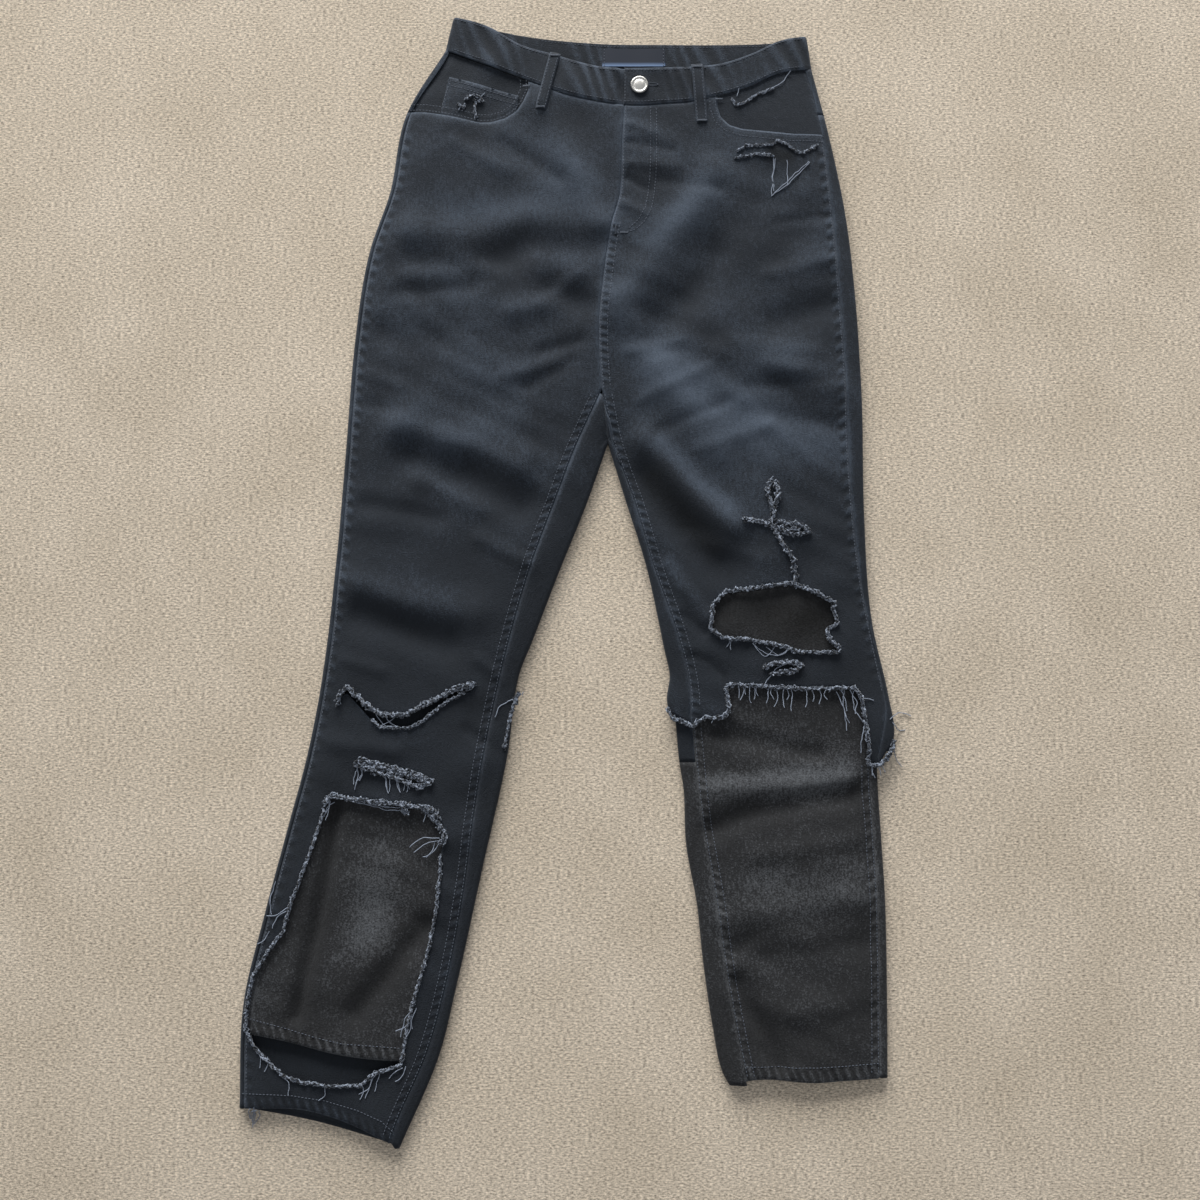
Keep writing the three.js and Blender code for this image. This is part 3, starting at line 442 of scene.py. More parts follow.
def new_piece(name, points, faces, finish, wear_and_shade=None, replaces=(), wall=0.0):
    """A piece at its place in the frame, riding on the jeans' one body."""
    mesh = bpy.data.meshes.new(name)
    mesh.from_pydata([tuple(p) for p in in_frame(points)], [], [tuple(int(i) for i in f) for f in faces])
    if wear_and_shade is not None:
        # the colour attribute: real fading plus painted light and shade
        attribute = mesh.attributes.new("wear_and_shade", "FLOAT", "POINT")
        attribute.data.foreach_set("value", np.asarray(wear_and_shade, np.float32))
    work = bmesh.new()
    work.from_mesh(mesh)
    bmesh.ops.remove_doubles(work, verts=work.verts, dist=1e-5)
    bmesh.ops.dissolve_degenerate(work, edges=work.edges, dist=1e-6)
    loose = [v for v in work.verts if not v.link_faces]
    bmesh.ops.delete(work, geom=loose, context="VERTS")
    work.to_mesh(mesh)
    work.free()
    mesh.polygons.foreach_set("use_smooth", [True] * len(mesh.polygons))
    mesh.materials.append(finish)
    piece = bpy.data.objects.new(name, mesh)
    bpy.context.collection.objects.link(piece)
    if wall:
        solidify = piece.modifiers.new("wall", "SOLIDIFY")
        solidify.thickness = wall / 1000
        solidify.offset = -1
        solidify.use_even_offset = False
        solidify.use_rim = True
    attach(piece, "root")
    if replaces:
        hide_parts(*replaces)
    return piece


# Marks on the cloth's colour, where, half-width, amount: some are fading, on the thighs and knees and round
# rips;
# the rest are painted highlights on lit slopes of thighs and hips, and painted shade, deepest below the left
# thigh's lower ridge and in the holes by the pockets and rips.
FADES_AND_PAINTED_LIGHT = [
    ([(-150, 300), (-120, 60)], 55, 0.05), ([(120, 300), (150, 60)], 60, 0.04),
    ([(-190, -30), (-200, -180)], 60, 0.04), ([(-150, 396), (-60, 404)], 18, 0.10),
    ([(40, 280), (130, 120)], 40, 0.03), ([(62, 157), (96, 118), (128, 92)], 10, 0.12),
    ([(56, 120), (88, 82), (112, 56)], 17, -0.30), ([(60, 366), (100, 424)], 17, 0.13),
    ([(68, 36), (104, -12)], 8, 0.08), ([(178, 457), (192, 455)], 7, -0.4),
    ([(-137, 513), (-128, 511)], 4, -0.25), ([(176, 467), (184, 469)], 5, -0.2),
    ([(170, -68), (194, -68)], 4, -0.3), ([(184, 70), (200, 68)], 3, -0.3),
    ([(171, 108), (174, 96)], 2.5, -0.3), ([(-150, 40), (-110, 100)], 30, -0.05),
    ([(72, -82), (76, -112)], 10, 0.14), ([(100, -84), (108, -104)], 13, 0.08),
    ([(60, 245), (150, 150)], 30, 0.11), ([(150, 192), (225, 155)], 32, 0.15),
    ([(85, 282), (120, 262)], 20, -0.07), ([(150, 352), (182, 335)], 22, -0.09),
    ([(-40, 470), (-10, 400)], 22, 0.05), ([(-190, 440), (-90, 430)], 20, -0.05),
]


def wear_and_shade_of(x, y, way_in, edge_wear=0.22):
    """Cloth colour, 0 unworn to 1 bare: fading at the nearest edge, plus painted light and shade on folds and
    marks and towards the waist.
    """
    # painted highlight on fold crests and painted shade in their troughs, with a little real fading on the
    # crests
    crest = 0.024 * fold_height(FOLDS + CREASES, x, y) + 0.03 * rumple(x, y)
    # painted light: lighter towards the waist, the end the daylight comes from, and darker down the legs
    base = 0.20 + 0.15 * ease(y, -160, 260)
    return base + crest + fold_height(FADES_AND_PAINTED_LIGHT, x, y) + edge_wear * np.exp(-way_in / 2.2)


SEAM_ROLL = 0.9  # the cloth turns down into each seam by this much


def front_panel(name, outline, holes, seams, hem=None, step=2.3):
    points, faces, way_in = fill(outline, holes, step)
    x, y = points.T
    rungs = ladder(seams, x, y)
    if hem:
        rungs = rungs + hem_rungs(hem, x, y)
    z = outer_top(x, y) - SEAM_ROLL * np.exp(-((way_in / 2.0) ** 2)) + 0.5 * rungs
    wear_and_shade = wear_and_shade_of(x, y, way_in) + 0.16 * rungs
    return new_piece(
        name, np.column_stack([x, y, z]), faces, black_denim, wear_and_shade, (name,), WALL
    )


SMILE_RIP = [
    (-256, -98), (-249, -88), (-237, -98), (-222, -111), (-205, -115), (-189, -114), (-170, -104),
    (-147, -92), (-124, -83), (-124, -90), (-151, -102), (-174, -121), (-187, -127), (-216, -127),
    (-226, -118), (-239, -104), (-249, -93),
]
SHORT_RIP = [
    (-239, -163), (-233, -158), (-205, -166), (-178, -173), (-165, -180), (-178, -185), (-205, -174),
]
WINDOW_RIP = [
    (-266, -194), (-243, -196), (-205, -200), (-174, -204), (-158, -219), (-150, -231), (-155, -250),
    (-155, -270), (-158, -300), (-164, -335), (-172, -365), (-180, -392), (-185, -415), (-190, -448),
    (-216, -456), (-228, -467), (-258, -467), (-285, -463), (-301, -458), (-320, -442), (-331, -431),
    (-340, -415), (-340, -392), (-334, -365), (-320, -342), (-306, -323), (-299, -296), (-289, -269),
    (-278, -238), (-269, -208),
]
KNEE_HOLE = [
    (125, 7), (112, -5), (109, -30), (121, -39), (148, -41), (184, -48), (194, -53), (235, -53),
    (236, -48), (226, -41), (225, -30), (235, -25), (230, -9), (232, -4), (212, 7), (189, 16), (158, 11),
]
KNEE_CUT = [
    (91, -126), (102, -117), (119, -118), (127, -111), (124, -88), (128, -85), (165, -87), (207, -89),
    (250, -88), (257, -97), (261, -130), (263, -147), (262, -163),
]
RIGHT_SCOOP = [
    (-74, 536.5), (-74, 526), (-79, 514), (-86, 504), (-98, 496), (-112, 492), (-124, 492), (-151, 498),
    (-180, 504), (-195.4, 505),
]
LEFT_SCOOP = [
    (121, 520.5), (121, 508), (124, 498), (133, 489), (146, 485), (173, 482), (199, 479.5), (229, 480.5),
]


def part_of(line, y_from, y_to, step=3.0):
    """The stretch of a seam line between two heights, from the first to the second."""
    y = np.linspace(y_from, y_to, max(2, round(abs(y_to - y_from) / step)))
    return np.column_stack([x_at(line, y), y])


def waist_part(line, x_from, x_to, shift=0.0, step=3.0):
    x = np.linspace(x_from, x_to, max(2, round(abs(x_to - x_from) / step)))
    return np.column_stack([x, smooth_through(line, x) + shift])


right_front_outline = np.vstack([
    RIGHT_SCOOP,
    part_of(RIGHT_OUTSEAM, 503, -489),
    waist_part(FRONT_HEM, -340, -203),
    part_of(RIGHT_INSEAM, -521, 210),
    part_of(CENTRE_FRONT, 212, 511),
    waist_part(FRONT_WAIST, 23, -72),
])
front_right = front_panel(
    "front_right", right_front_outline, [np.array(h, float) for h in (SMILE_RIP, SHORT_RIP, WINDOW_RIP)],
    [(RIGHT_INSEAM, -1, -505, 205, 9.5), (RIGHT_OUTSEAM, 1, -470, 480, 13.0)],
    hem=FRONT_HEM,
)
left_front_outline = np.vstack([
    LEFT_SCOOP,
    part_of(LEFT_OUTSEAM, 478, -162),
    KNEE_CUT[::-1],
    part_of(LEFT_INSEAM, -123, 210),
    part_of(CENTRE_FRONT, 212, 511),
    waist_part(FRONT_WAIST, 27, 119),
])
front_left = front_panel(
    "front_left", left_front_outline, [np.array(KNEE_HOLE, float)],
    [(LEFT_INSEAM, 1, -118, 205, 9.0), (CENTRE_FRONT, 1, 216, 383, 8.0), (LEFT_OUTSEAM, -1, -80, 460, 13.0)])

# ---------------------------------------------------------------- the outer pair's backs, yokes
# Each back panel starts on top at the outseam, turns under at the side fold and lies on the
# floor; below the crotch it comes up again at the inner fold to the inseam. A shaped yoke joins
# it to the waistband, and a seam runs down the centre back and through the crotch.
ARC_STEPS = 7


def lerp(a, b, t):
    return a + (b - a) * t


def wrap_row(a, b, top, floor, bend=None):
    """Points of one row: strip from seam a to its fold, round it, underneath, and up at fold b.
    A side is (seam point or None, fold point or None, out); side b may be one point underneath."""
    seam_a, fold_a, out_a = a
    seam_b, fold_b, out_b = b
    rows = []

    def strip(seam, start, count, outward):
        u = np.linspace(0, 1, count)
        x, y = lerp(seam[0], start[0], u), lerp(seam[1], start[1], u)
        z = top(x, y) - SEAM_ROLL * np.exp(-((np.hypot(x - seam[0], y - seam[1]) / 2.0) ** 2))
        points = np.column_stack([x, y, z])
        return points if outward else points[::-1]

    def turn(start, out, down, apex=False):
        s = np.arange(1, ARC_STEPS) / ARC_STEPS
        high, low = float(top(*start)), float(floor(start[1]))
        z = (high + low) / 2 + (high - low) / 2 * np.cos(np.pi * s)
        bulge = FOLD * np.sin(np.pi * s)
        x = start[0] + out * bulge
        y = start[1] - (bulge if apex else 0 * bulge)
        points = np.column_stack([x, y, z])
        return points if down else points[::-1]

    start_a = (fold_a[0] - out_a * FOLD, fold_a[1])
    rows.append(strip(seam_a, start_a, 7, True)[:-1])
    rows.append([(*start_a, float(top(*start_a)))])
    rows.append(turn(start_a, out_a, True))
    apex = seam_b is not None and out_b == 0
    end = fold_b if out_b == 0 and not apex else (fold_b[0] - out_b * FOLD, fold_b[1] + (FOLD if apex else 0))
    u = np.linspace(0, 1, 24)
    x, y = lerp(start_a[0], end[0], u), lerp(start_a[1], end[1], u)
    if bend is not None:
        y = y + bend(x, y, u)
    rows.append(np.column_stack([x, y, floor(y)]))
    if seam_b is not None:
        rows.append(turn(end, out_b, False, apex))
        rows.append([(*end, float(top(*end)))])
        rows.append(strip(seam_b, end, 8, False)[1:])
    return np.vstack(rows)


def grid_piece(name, rows, seams, finish, wear_at, wall=WALL):
    """Skins rows of points, longest rows last, and faces them outwards."""
    points, starts = np.vstack(rows), np.cumsum([0] + [len(r) for r in rows])
    faces = []
    for k in range(len(rows) - 1):
        for j in range(min(len(rows[k]), len(rows[k + 1])) - 1):
            a, b = starts[k] + j, starts[k + 1] + j
            faces.append((a, b, b + 1, a + 1))
    corner = points[np.array(faces)]
    facing_up = np.cross(corner[:, 1] - corner[:, 0], corner[:, 2] - corner[:, 0])[:, 2]
    if (facing_up * (corner[:, :, 2].mean(1) - points[:, 2].mean())).sum() < 0:
        faces = [f[::-1] for f in faces]
    way_in = np.minimum.reduce([distance_to(line, *points.T[:2]) for line in seams])
    way_in = np.where(points[:, 2] > 5, way_in, 40)
    return new_piece(name, points, faces, finish, wear_at(*points.T[:2], way_in), (name,), wall)


YOKE_SIDE_RIGHT, YOKE_SIDE_LEFT, YOKE_CENTRE = 505, 502, 466


def hip_rows(outer, outseam, out, side_from, side_to, back_from, back_to, count, waist=False):
    rows = []
    for s in np.linspace(0, 1, count):
        y, back = lerp(side_from, side_to, s), lerp(back_from, back_to, s)
        end = (float(x_at(CENTRE_BACK, back)), back + (FOLD * s if back_to == APEX[1] else 0))
        seam = (float(x_at(outseam, y)), y)
        bend = None
        if waist:
            def bend(x, level, u, fade=1 - s, y0=side_from, y1=back_from):
                return fade * (smooth_through(BACK_WAIST, x) - lerp(y0, y1, u)) * (0 < u) * (u < 1)
        a = (seam, (float(x_at(outer, y)), y), out)
        rows.append(wrap_row(a, (None, end, 0), outer_top, seat_lift, bend))
    return rows


def leg_rows(outer, outseam, inner, inseam, out, ends, count, hem=None):
    """ends: y at the hem or cut of the outseam, outer fold, inner fold and inseam."""
    rows = []
    for k, s in enumerate(np.linspace(0, 1, count)):
        y = lerp(APEX[1], ends[1], s)
        seam_y = y + (ends[0] - ends[1]) * s**6
        inner_y = lerp(APEX[1], ends[2], s)
        a = ((float(x_at(outseam, seam_y)), seam_y), (float(x_at(outer, y)), y), out)
        if k == 0:
            b = ((APEX[0], APEX[1] + FOLD + 0.5), APEX, 0)
            rows.append(wrap_row(a, b, outer_top, seat_lift))
            continue
        if inner_y > 140:
            t = (APEX[1] - inner_y) / (APEX[1] - 140)
            end = (lerp(APEX[0], CROTCH[0], t), lerp(APEX[1] + FOLD, CROTCH[1], t))
        else:
            lead = 72 * max(0.0, 1 - (140 - inner_y) / 220) ** 1.4
            end_y = inner_y + lead + (ends[3] - ends[2]) * s**6
            end = (float(x_at(inseam, end_y)), end_y)
        bend = None
        if hem and s > 0.8:
            def bend(x, level, u, fade=float(ease(s, 0.8, 1.0)), y0=ends[1], y1=ends[2]):
                return fade * (smooth_through(hem, x) - lerp(y0, y1, u)) * (0 < u) * (u < 1)
        b = (end, (float(x_at(inner, inner_y)), inner_y), -out)
        rows.append(wrap_row(a, b, outer_top, seat_lift, bend))
    return rows


# The backs' colour: the fronts' fading and painted light and shade, a little darker.
def back_wear_and_shade(x, y, way_in):
    return wear_and_shade_of(x, y, way_in) - 0.03


right_seams = [RIGHT_OUTSEAM, RIGHT_INSEAM]
left_seams = [LEFT_OUTSEAM, LEFT_INSEAM]
right_hips = (RIGHT_OUTER, RIGHT_OUTSEAM, -1)
left_hips = (LEFT_OUTER, LEFT_OUTSEAM, 1)
yoke_right = grid_piece(
    "yoke_right", hip_rows(*right_hips, 573, YOKE_SIDE_RIGHT, 546, YOKE_CENTRE, 16, waist=True),
    right_seams, black_denim, back_wear_and_shade)
yoke_left = grid_piece(
    "yoke_left", hip_rows(*left_hips, 552, YOKE_SIDE_LEFT, 546, YOKE_CENTRE, 14, waist=True),
    left_seams, black_denim, back_wear_and_shade)
back_right = grid_piece(
    "back_right",
    hip_rows(*right_hips, YOKE_SIDE_RIGHT, APEX[1], YOKE_CENTRE, APEX[1], 64)[:-1]
    + leg_rows(RIGHT_OUTER, RIGHT_OUTSEAM, RIGHT_INNER, RIGHT_INSEAM, -1, (-489, -489, -526, -519), 130,
               BACK_HEM),
    right_seams, black_denim, back_wear_and_shade)
back_left = grid_piece(
    "back_left",
    hip_rows(*left_hips, YOKE_SIDE_LEFT, APEX[1], YOKE_CENTRE, APEX[1], 64)[:-1]
    + leg_rows(LEFT_OUTER, LEFT_OUTSEAM, LEFT_INNER, LEFT_INSEAM, 1, (-164, -150, -116, -125), 62),
    left_seams, black_denim, back_wear_and_shade)

# ---------------------------------------------------------------- the second pair's legs
# Charcoal salt-and-pepper denim, fixed inside the outer legs: what shows through the window
# and below the knee cut. The left one's back is black above a step, where it was patched.
CLEAR = 2.3  # from the outer cloth's face down to the face of the leg inside it
LEG_INSET = 3.1
RIGHT_UNDER_HEM = [(-343, -419), (-301, -427), (-258, -438), (-216, -444), (-155, -446)]
LEFT_UNDER_HEM = [(125, -470), (144, -463), (207, -465), (240, -463), (276, -461)]
LEFT_UNDER_OUTER = [
    (259, 60), (266, -19), (272, -80), (274, -140), (272.5, -167), (275, -234), (277.5, -297),
    (277.5, -359), (276, -461),
]
LEFT_UNDER_INNER = [
    (41, 60), (49, 34), (68, -51), (74, -76), (73, -97), (74.5, -120), (78, -161), (82, -188), (84, -240),
    (94, -297), (100, -355), (109, -417), (117, -455), (125, -470),
]
LEFT_UNDER_INSEAM = [
    (54, 66), (75, -10), (84, -60), (88, -100), (91, -130), (98, -205), (111, -288), (123, -372), (142, -475),
]
LEFT_UNDER_OUTSEAM = [(x - 8, y) for x, y in LEFT_UNDER_OUTER]
RIGHT_UNDER_OUTSEAM = [(x + 9.5, y) for x, y in RIGHT_OUTER[6:]]
STEP_Y = -161
UNDER_FOLDS = [
    ([(-258, -205), (-270, -292), (-293, -404)], 7, -3.2),
    ([(-170, -320), (-235, -400)], 12, -2.6), ([(115, -130), (215, -155)], 11, -2.2),
    ([(111, -182), (240, -170)], 12, 2.6), ([(107, -226), (148, -209), (252, -190)], 12, -3.0),
    ([(125, -310), (255, -290)], 15, 1.8), ([(132, -372), (172, -448)], 10, -2.8),
    ([(-215, -240), (-225, -330)], 18, 1.0), ([(150, -250), (250, -235)], 10, 1.2),
    ([(160, -345), (262, -335)], 12, -1.2), ([(190, -400), (262, -385)], 12, 1.0),
    ([(145, -330), (125, -345)], 7, -1.0), ([(155, -425), (185, -452)], 6, 0.9),
    ([(-250, -350), (-200, -300)], 9, 0.9),
]


def right_under_top(x, y):
    own = laid_height(x, y, x_at(RIGHT_OUTER, y), x_at(RIGHT_INNER, y), UNDER_FOLDS)
    return np.minimum(own, outer_top(x, y)) - CLEAR


def left_under_top(x, y):
    own = laid_height(x, y, x_at(LEFT_UNDER_INNER, y), x_at(LEFT_UNDER_OUTER, y), UNDER_FOLDS)
    return lerp(np.minimum(own, outer_top(x, y)) - CLEAR, own - 1, ease(-y, 165, 200))


def right_under_floor(y):
    return 1.7 + 0.0 * np.asarray(y)


def left_under_floor(y):
    return 1.7 * ease(y, -200, -172)


# Marks on the second pair's colour, where, half-width, amount: painted highlights on its lit folds and
# painted shade, deepest inside the knee hole and down the window's left side, under the outer cloth's edge.
UNDER_LIGHT_AND_SHADE = [
    ([(-212, -250), (-222, -330)], 26, 0.14), ([(150, -132), (240, -150)], 20, 0.10),
    ([(111, -184), (240, -172)], 13, 0.14), ([(150, -275), (245, -270)], 24, 0.10),
    ([(146, -14), (150, -30)], 14, 0.10), ([(-262, -300), (-285, -400)], 6, -0.12),
    ([(215, -20), (230, -40)], 18, -0.10), ([(130, -14), (225, -22)], 26, -0.22),
    ([(170, -196), (235, -190)], 12, 0.16),
]


def under_wear_and_shade(x, y, way_in):
    # painted light and shade from the marks and on the fold crests, and fading along the edges
    marks = fold_height(UNDER_LIGHT_AND_SHADE, x, y)
    return 0.20 + marks + 0.03 * fold_height(UNDER_FOLDS, x, y) + 0.2 * np.exp(-way_in / 2.0)


def under_front(name, outline, top, seams, hem):
    points, faces, way_in = fill(np.vstack(outline), [], 2.4)
    x, y = points.T
    rungs = ladder(seams, x, y) + hem_rungs(hem, x, y, 14.0)
    z = top(x, y) - SEAM_ROLL * np.exp(-((way_in / 2.0) ** 2)) + 0.5 * rungs
    wear_and_shade = under_wear_and_shade(x, y, way_in) + 0.15 * rungs
    return new_piece(
        name, np.column_stack([x, y, z]), faces, grey_denim, wear_and_shade, (name,), WALL)


under_front_right = under_front(
    "under_leg_front_right",
    [part_of(RIGHT_UNDER_OUTSEAM, -138, -419), waist_part(RIGHT_UNDER_HEM, -334, -170),
     part_of(RIGHT_INSEAM, -446, -138)], right_under_top, [], RIGHT_UNDER_HEM)
under_front_left = under_front(
    "under_leg_front_left",
    [part_of(LEFT_UNDER_INSEAM, -464, 60), part_of(LEFT_UNDER_OUTSEAM, 60, -461),
     waist_part(LEFT_UNDER_HEM, 266, 142)], left_under_top,
    [(LEFT_UNDER_INSEAM, 1, -455, -120, 9.2), (LEFT_UNDER_OUTSEAM, -1, -450, -165, 12.0)],
    LEFT_UNDER_HEM)


def under_back_rows(outer, outseam, inner, inseam, out, start, ends, top, floor, hem, count):
    rows = []
    for s in np.linspace(0, 1, count):
        y, inner_y = lerp(start[0], ends[0], s), lerp(start[1], ends[1], s)
        a = ((float(x_at(outseam, y)), y), (float(outer(y)), y), out)
        b = ((float(x_at(inseam, inner_y)), inner_y), (float(inner(inner_y)), inner_y), -out)
        bend = None
        if hem and s > 0.85:
            def bend(x, level, u, fade=float(ease(s, 0.85, 1.0)), y0=ends[0], y1=ends[1]):
                return fade * (smooth_through(hem, x) - lerp(y0, y1, u)) * (0 < u) * (u < 1)
        rows.append(wrap_row(a, b, top, floor, bend))
    return rows


def left_under_edge(line):
    return lambda y: x_at(line, y)


left_under = (left_under_edge(LEFT_UNDER_OUTER), LEFT_UNDER_OUTSEAM, left_under_edge(LEFT_UNDER_INNER),
              LEFT_UNDER_INSEAM, 1)
under_back_right = grid_piece(
    "under_leg_back_right",
    under_back_rows(
        lambda y: x_at(RIGHT_OUTER, y) + LEG_INSET, RIGHT_UNDER_OUTSEAM,
        lambda y: x_at(RIGHT_INNER, y) - 2 * LEG_INSET, RIGHT_INSEAM, -1, (-138, -138), (-419, -446),
        right_under_top, right_under_floor, RIGHT_UNDER_HEM, 60),
    [RIGHT_UNDER_OUTSEAM, RIGHT_INSEAM], grey_denim, under_wear_and_shade)
under_back_left = grid_piece(
    "under_leg_back_left",
    under_back_rows(*left_under, (STEP_Y, STEP_Y), (-461, -468), left_under_top, left_under_floor,
                    LEFT_UNDER_HEM, 70),
    [LEFT_UNDER_OUTSEAM, LEFT_UNDER_INSEAM], grey_denim, under_wear_and_shade)
under_back_left_upper = grid_piece(
    "under_leg_back_left_upper",
    under_back_rows(*left_under, (60, 60), (STEP_Y, STEP_Y), left_under_top, left_under_floor, None, 46),
    [LEFT_UNDER_OUTSEAM, LEFT_UNDER_INSEAM], black_denim, back_wear_and_shade)

# ---------------------------------------------------------------- pockets
# Scoop front pockets: the facing shows under each scoop, and the right one carries the coin
# pocket. Two patch pockets are sewn on the seat, underneath. All are the outer pair's twill.


def facing(name, outline, drop, finish=black_denim, dark=-0.09):
    points, faces, way_in = fill(np.array(outline, float), [], 3.0)
    x, y = points.T
    z = outer_top(x, y) - drop
    wear_and_shade = wear_and_shade_of(x, y, way_in, 0.12) + dark
    return new_piece(name, np.column_stack([x, y, z]), faces, finish, wear_and_shade, (name,), WALL)


facing_right = facing(
    "pocket_facing_right",
    np.vstack([[(-66, 534), (-66, 518), (-74, 500), (-90, 486), (-115, 480), (-150, 485), (-196, 494)],
               part_of(RIGHT_OUTSEAM, 504, 571), waist_part(FRONT_WAIST, -156, -67)]), 3.2)
facing_left = facing(
    "pocket_facing_left",
    np.vstack([[(112, 517), (112, 505), (117, 490), (130, 479), (150, 473), (200, 467), (230, 468)],
               part_of(LEFT_OUTSEAM, 482, 554), waist_part(FRONT_WAIST, 211, 113)]), 1.7)
coin_pocket = facing(
    "coin_pocket", [(-156, 543), (-84, 521), (-88, 484), (-120, 482), (-166, 492)], 1.5, dark=0.0)
POCKET_WIDTH, POCKET_LENGTH = 134, 142
for name, (cx, cy, degrees) in {
    "back_pocket_right": (-92, 396, -3), "back_pocket_left": (152, 394, 3)
}.items():
    turn = math.radians(degrees)
    corners = [(-0.5, 0.5), (0.5, 0.5), (0.43, -0.34), (0, -0.5), (-0.43, -0.34)]
    outline = []
    for u, v in corners:
        px, py = u * POCKET_WIDTH, v * POCKET_LENGTH
        outline.append((cx + px * math.cos(turn) - py * math.sin(turn),
                        cy + px * math.sin(turn) + py * math.cos(turn)))
    points, faces, way_in = fill(np.array(outline), [], 5.0)
    x, y = points.T
    lying = np.column_stack([x, y, np.full(len(x), 1.3)])
    pocket = new_piece(
        name, lying, faces, black_denim, wear_and_shade_of(x, y, way_in), (name,), WALL)

# ---------------------------------------------------------------- waistband
# A double band of the same twill, shaped to dip at the front, topstitched along both edges.
# Its left end laps over the right one at the fly, under the button.
BAND_WALL = 2.2
FLY_END, TONGUE_END = 24.0, 58.0
FRONT_TOP = [
    (-153, 609), (-114, 596), (-83, 577), (-50, 567), (0, 553), (40, 551), (94, 552), (127, 556),
    (158, 567), (186, 581), (215, 588),
]
BACK_TOP = [(-153, 609), (-83, 592), (0, 583), (64, 582), (140, 582), (186, 584), (215, 588)]


def band_top(x, y):
    return outer_top(x, y) + 0.7


def band_ripple(x, y):
    """The topstitching pulls the band into short slanting ripples."""
    return np.sin(x / 2.4 + 1.9 * np.sin(x / 12.0) + y / 6.0) * (0.55 + 0.45 * np.sin(x / 17.0 + 2))


def band_section(x_share, face, drop=0.0):
    """Points across the band's width, seam to top edge, at one place round it."""
    v = np.array([0, 0.03, 0.08, 0.14, 0.22, 0.35, 0.5, 0.65, 0.78, 0.86, 0.92, 0.97, 1.0])
    left, right = lerp(-161, -153, v) + FOLD, lerp(220, 215, v) - FOLD
    x = lerp(left, right, x_share)
    seam, edge = (FRONT_WAIST, FRONT_TOP) if face > 0 else (BACK_WAIST, BACK_TOP)
    y = lerp(smooth_through(seam, x), smooth_through(edge, x), v)
    roll = 0.8 * (np.exp(-((v / 0.04) ** 2)) + np.exp(-(((1 - v) / 0.04) ** 2)))
    swell = 0.85 * band_ripple(x, y) * np.sin(math.pi * v) ** 0.7
    inner = 0.35 * (1 + band_ripple(x, y)) * np.sin(math.pi * v) ** 0.7
    z = band_top(x, y) + swell - roll - drop if face > 0 else seat_lift(y) + inner
    return np.column_stack([x, y, z])


def band_turn(share, out, down):
    over, below = band_section(share, 1), band_section(share, -1)
    sections = []
    for s in np.arange(1, ARC_STEPS) / ARC_STEPS:
        part = lerp(over, below, s)
        part[:, 2] = (over[:, 2] + below[:, 2]) / 2 + (over[:, 2] - below[:, 2]) / 2 * math.cos(math.pi * s)
        part[:, 0] += out * FOLD * math.sin(math.pi * s)
        sections.append(part)
    return sections if down else sections[::-1]


def share_at(x):
    return (x + 157 - FOLD) / (374.5 - 2 * FOLD)


sections = [band_section(s, 1) for s in np.linspace(share_at(FLY_END + 1), 1, 110)]
sections += band_turn(1.0, 1, True)
sections += [band_section(s, -1) for s in np.linspace(1, 0, 90)]
sections += band_turn(0.0, -1, False)
for s in np.linspace(0, share_at(TONGUE_END), 125):
    under_end = float(ease(s, share_at(FLY_END - 9), share_at(FLY_END - 1)))
    sections.append(band_section(s, 1, drop=(BAND_WALL + 0.5) * under_end))
band_lines = [[tuple(p) for p in across(line, 6)] for line in (FRONT_WAIST, FRONT_TOP)]
waistband = grid_piece(
    "waistband", sections, band_lines, black_denim,
    lambda x, y, way_in: 0.32 + 0.14 * band_ripple(x, y) + 0.2 * np.exp(-way_in / 2.5), BAND_WALL)

# Belt loops: folded strips of twill, 11 mm wide, bartacked over the band at both ends. Two show
# at the front; three at the back lie under the waist.
FRONT_LOOPS = [((-46.5, 566), (-61, 504), 11), ((100, 553), (104.7, 490.6), 11.8)]  # ends, width
for number, (top_end, bottom_end, width) in enumerate(FRONT_LOOPS, 1):
    along = np.array(bottom_end, float) - top_end
    side = np.array([-along[1], along[0]]) / np.hypot(*along) * width / 2
    rows = []
    for s in np.linspace(-0.03, 1, 30):
        centre = np.array(top_end) + along * s
        u = np.linspace(-1, 1, 9)
        x, y = centre[0] - side[0] * u, centre[1] - side[1] * u
        on_band = ease(y, smooth_through(FRONT_WAIST, x) - 12, smooth_through(FRONT_WAIST, x) + 3)
        z = outer_top(x, y) + 1.5 + 1.1 * on_band + 0.9 * math.sin(math.pi * min(max(s, 0), 1)) ** 0.5
        z = z - 0.9 * np.abs(u) ** 6 - 2.2 * ease(-s, -0.02, 0.03) - 0.8 * ease(s, 0.96, 1.0)
        rows.append(np.column_stack([x, y, z]))
    points = np.vstack(rows)
    faces = [(k * 9 + j, k * 9 + j + 1, (k + 1) * 9 + j + 1, (k + 1) * 9 + j)
             for k in range(29) for j in range(8)]
    a, b, c = (points[i] for i in faces[0][:3])
    if np.cross(b - a, c - a)[2] < 0:
        faces = [f[::-1] for f in faces]
    wear_and_shade = 0.34 + 0.2 * np.tile(np.abs(np.linspace(-1, 1, 9)) ** 4, 30)
    name = f"belt_loop_front_{number}"
    loop = new_piece(name, points, faces, black_denim, wear_and_shade, (name,), 1.4)
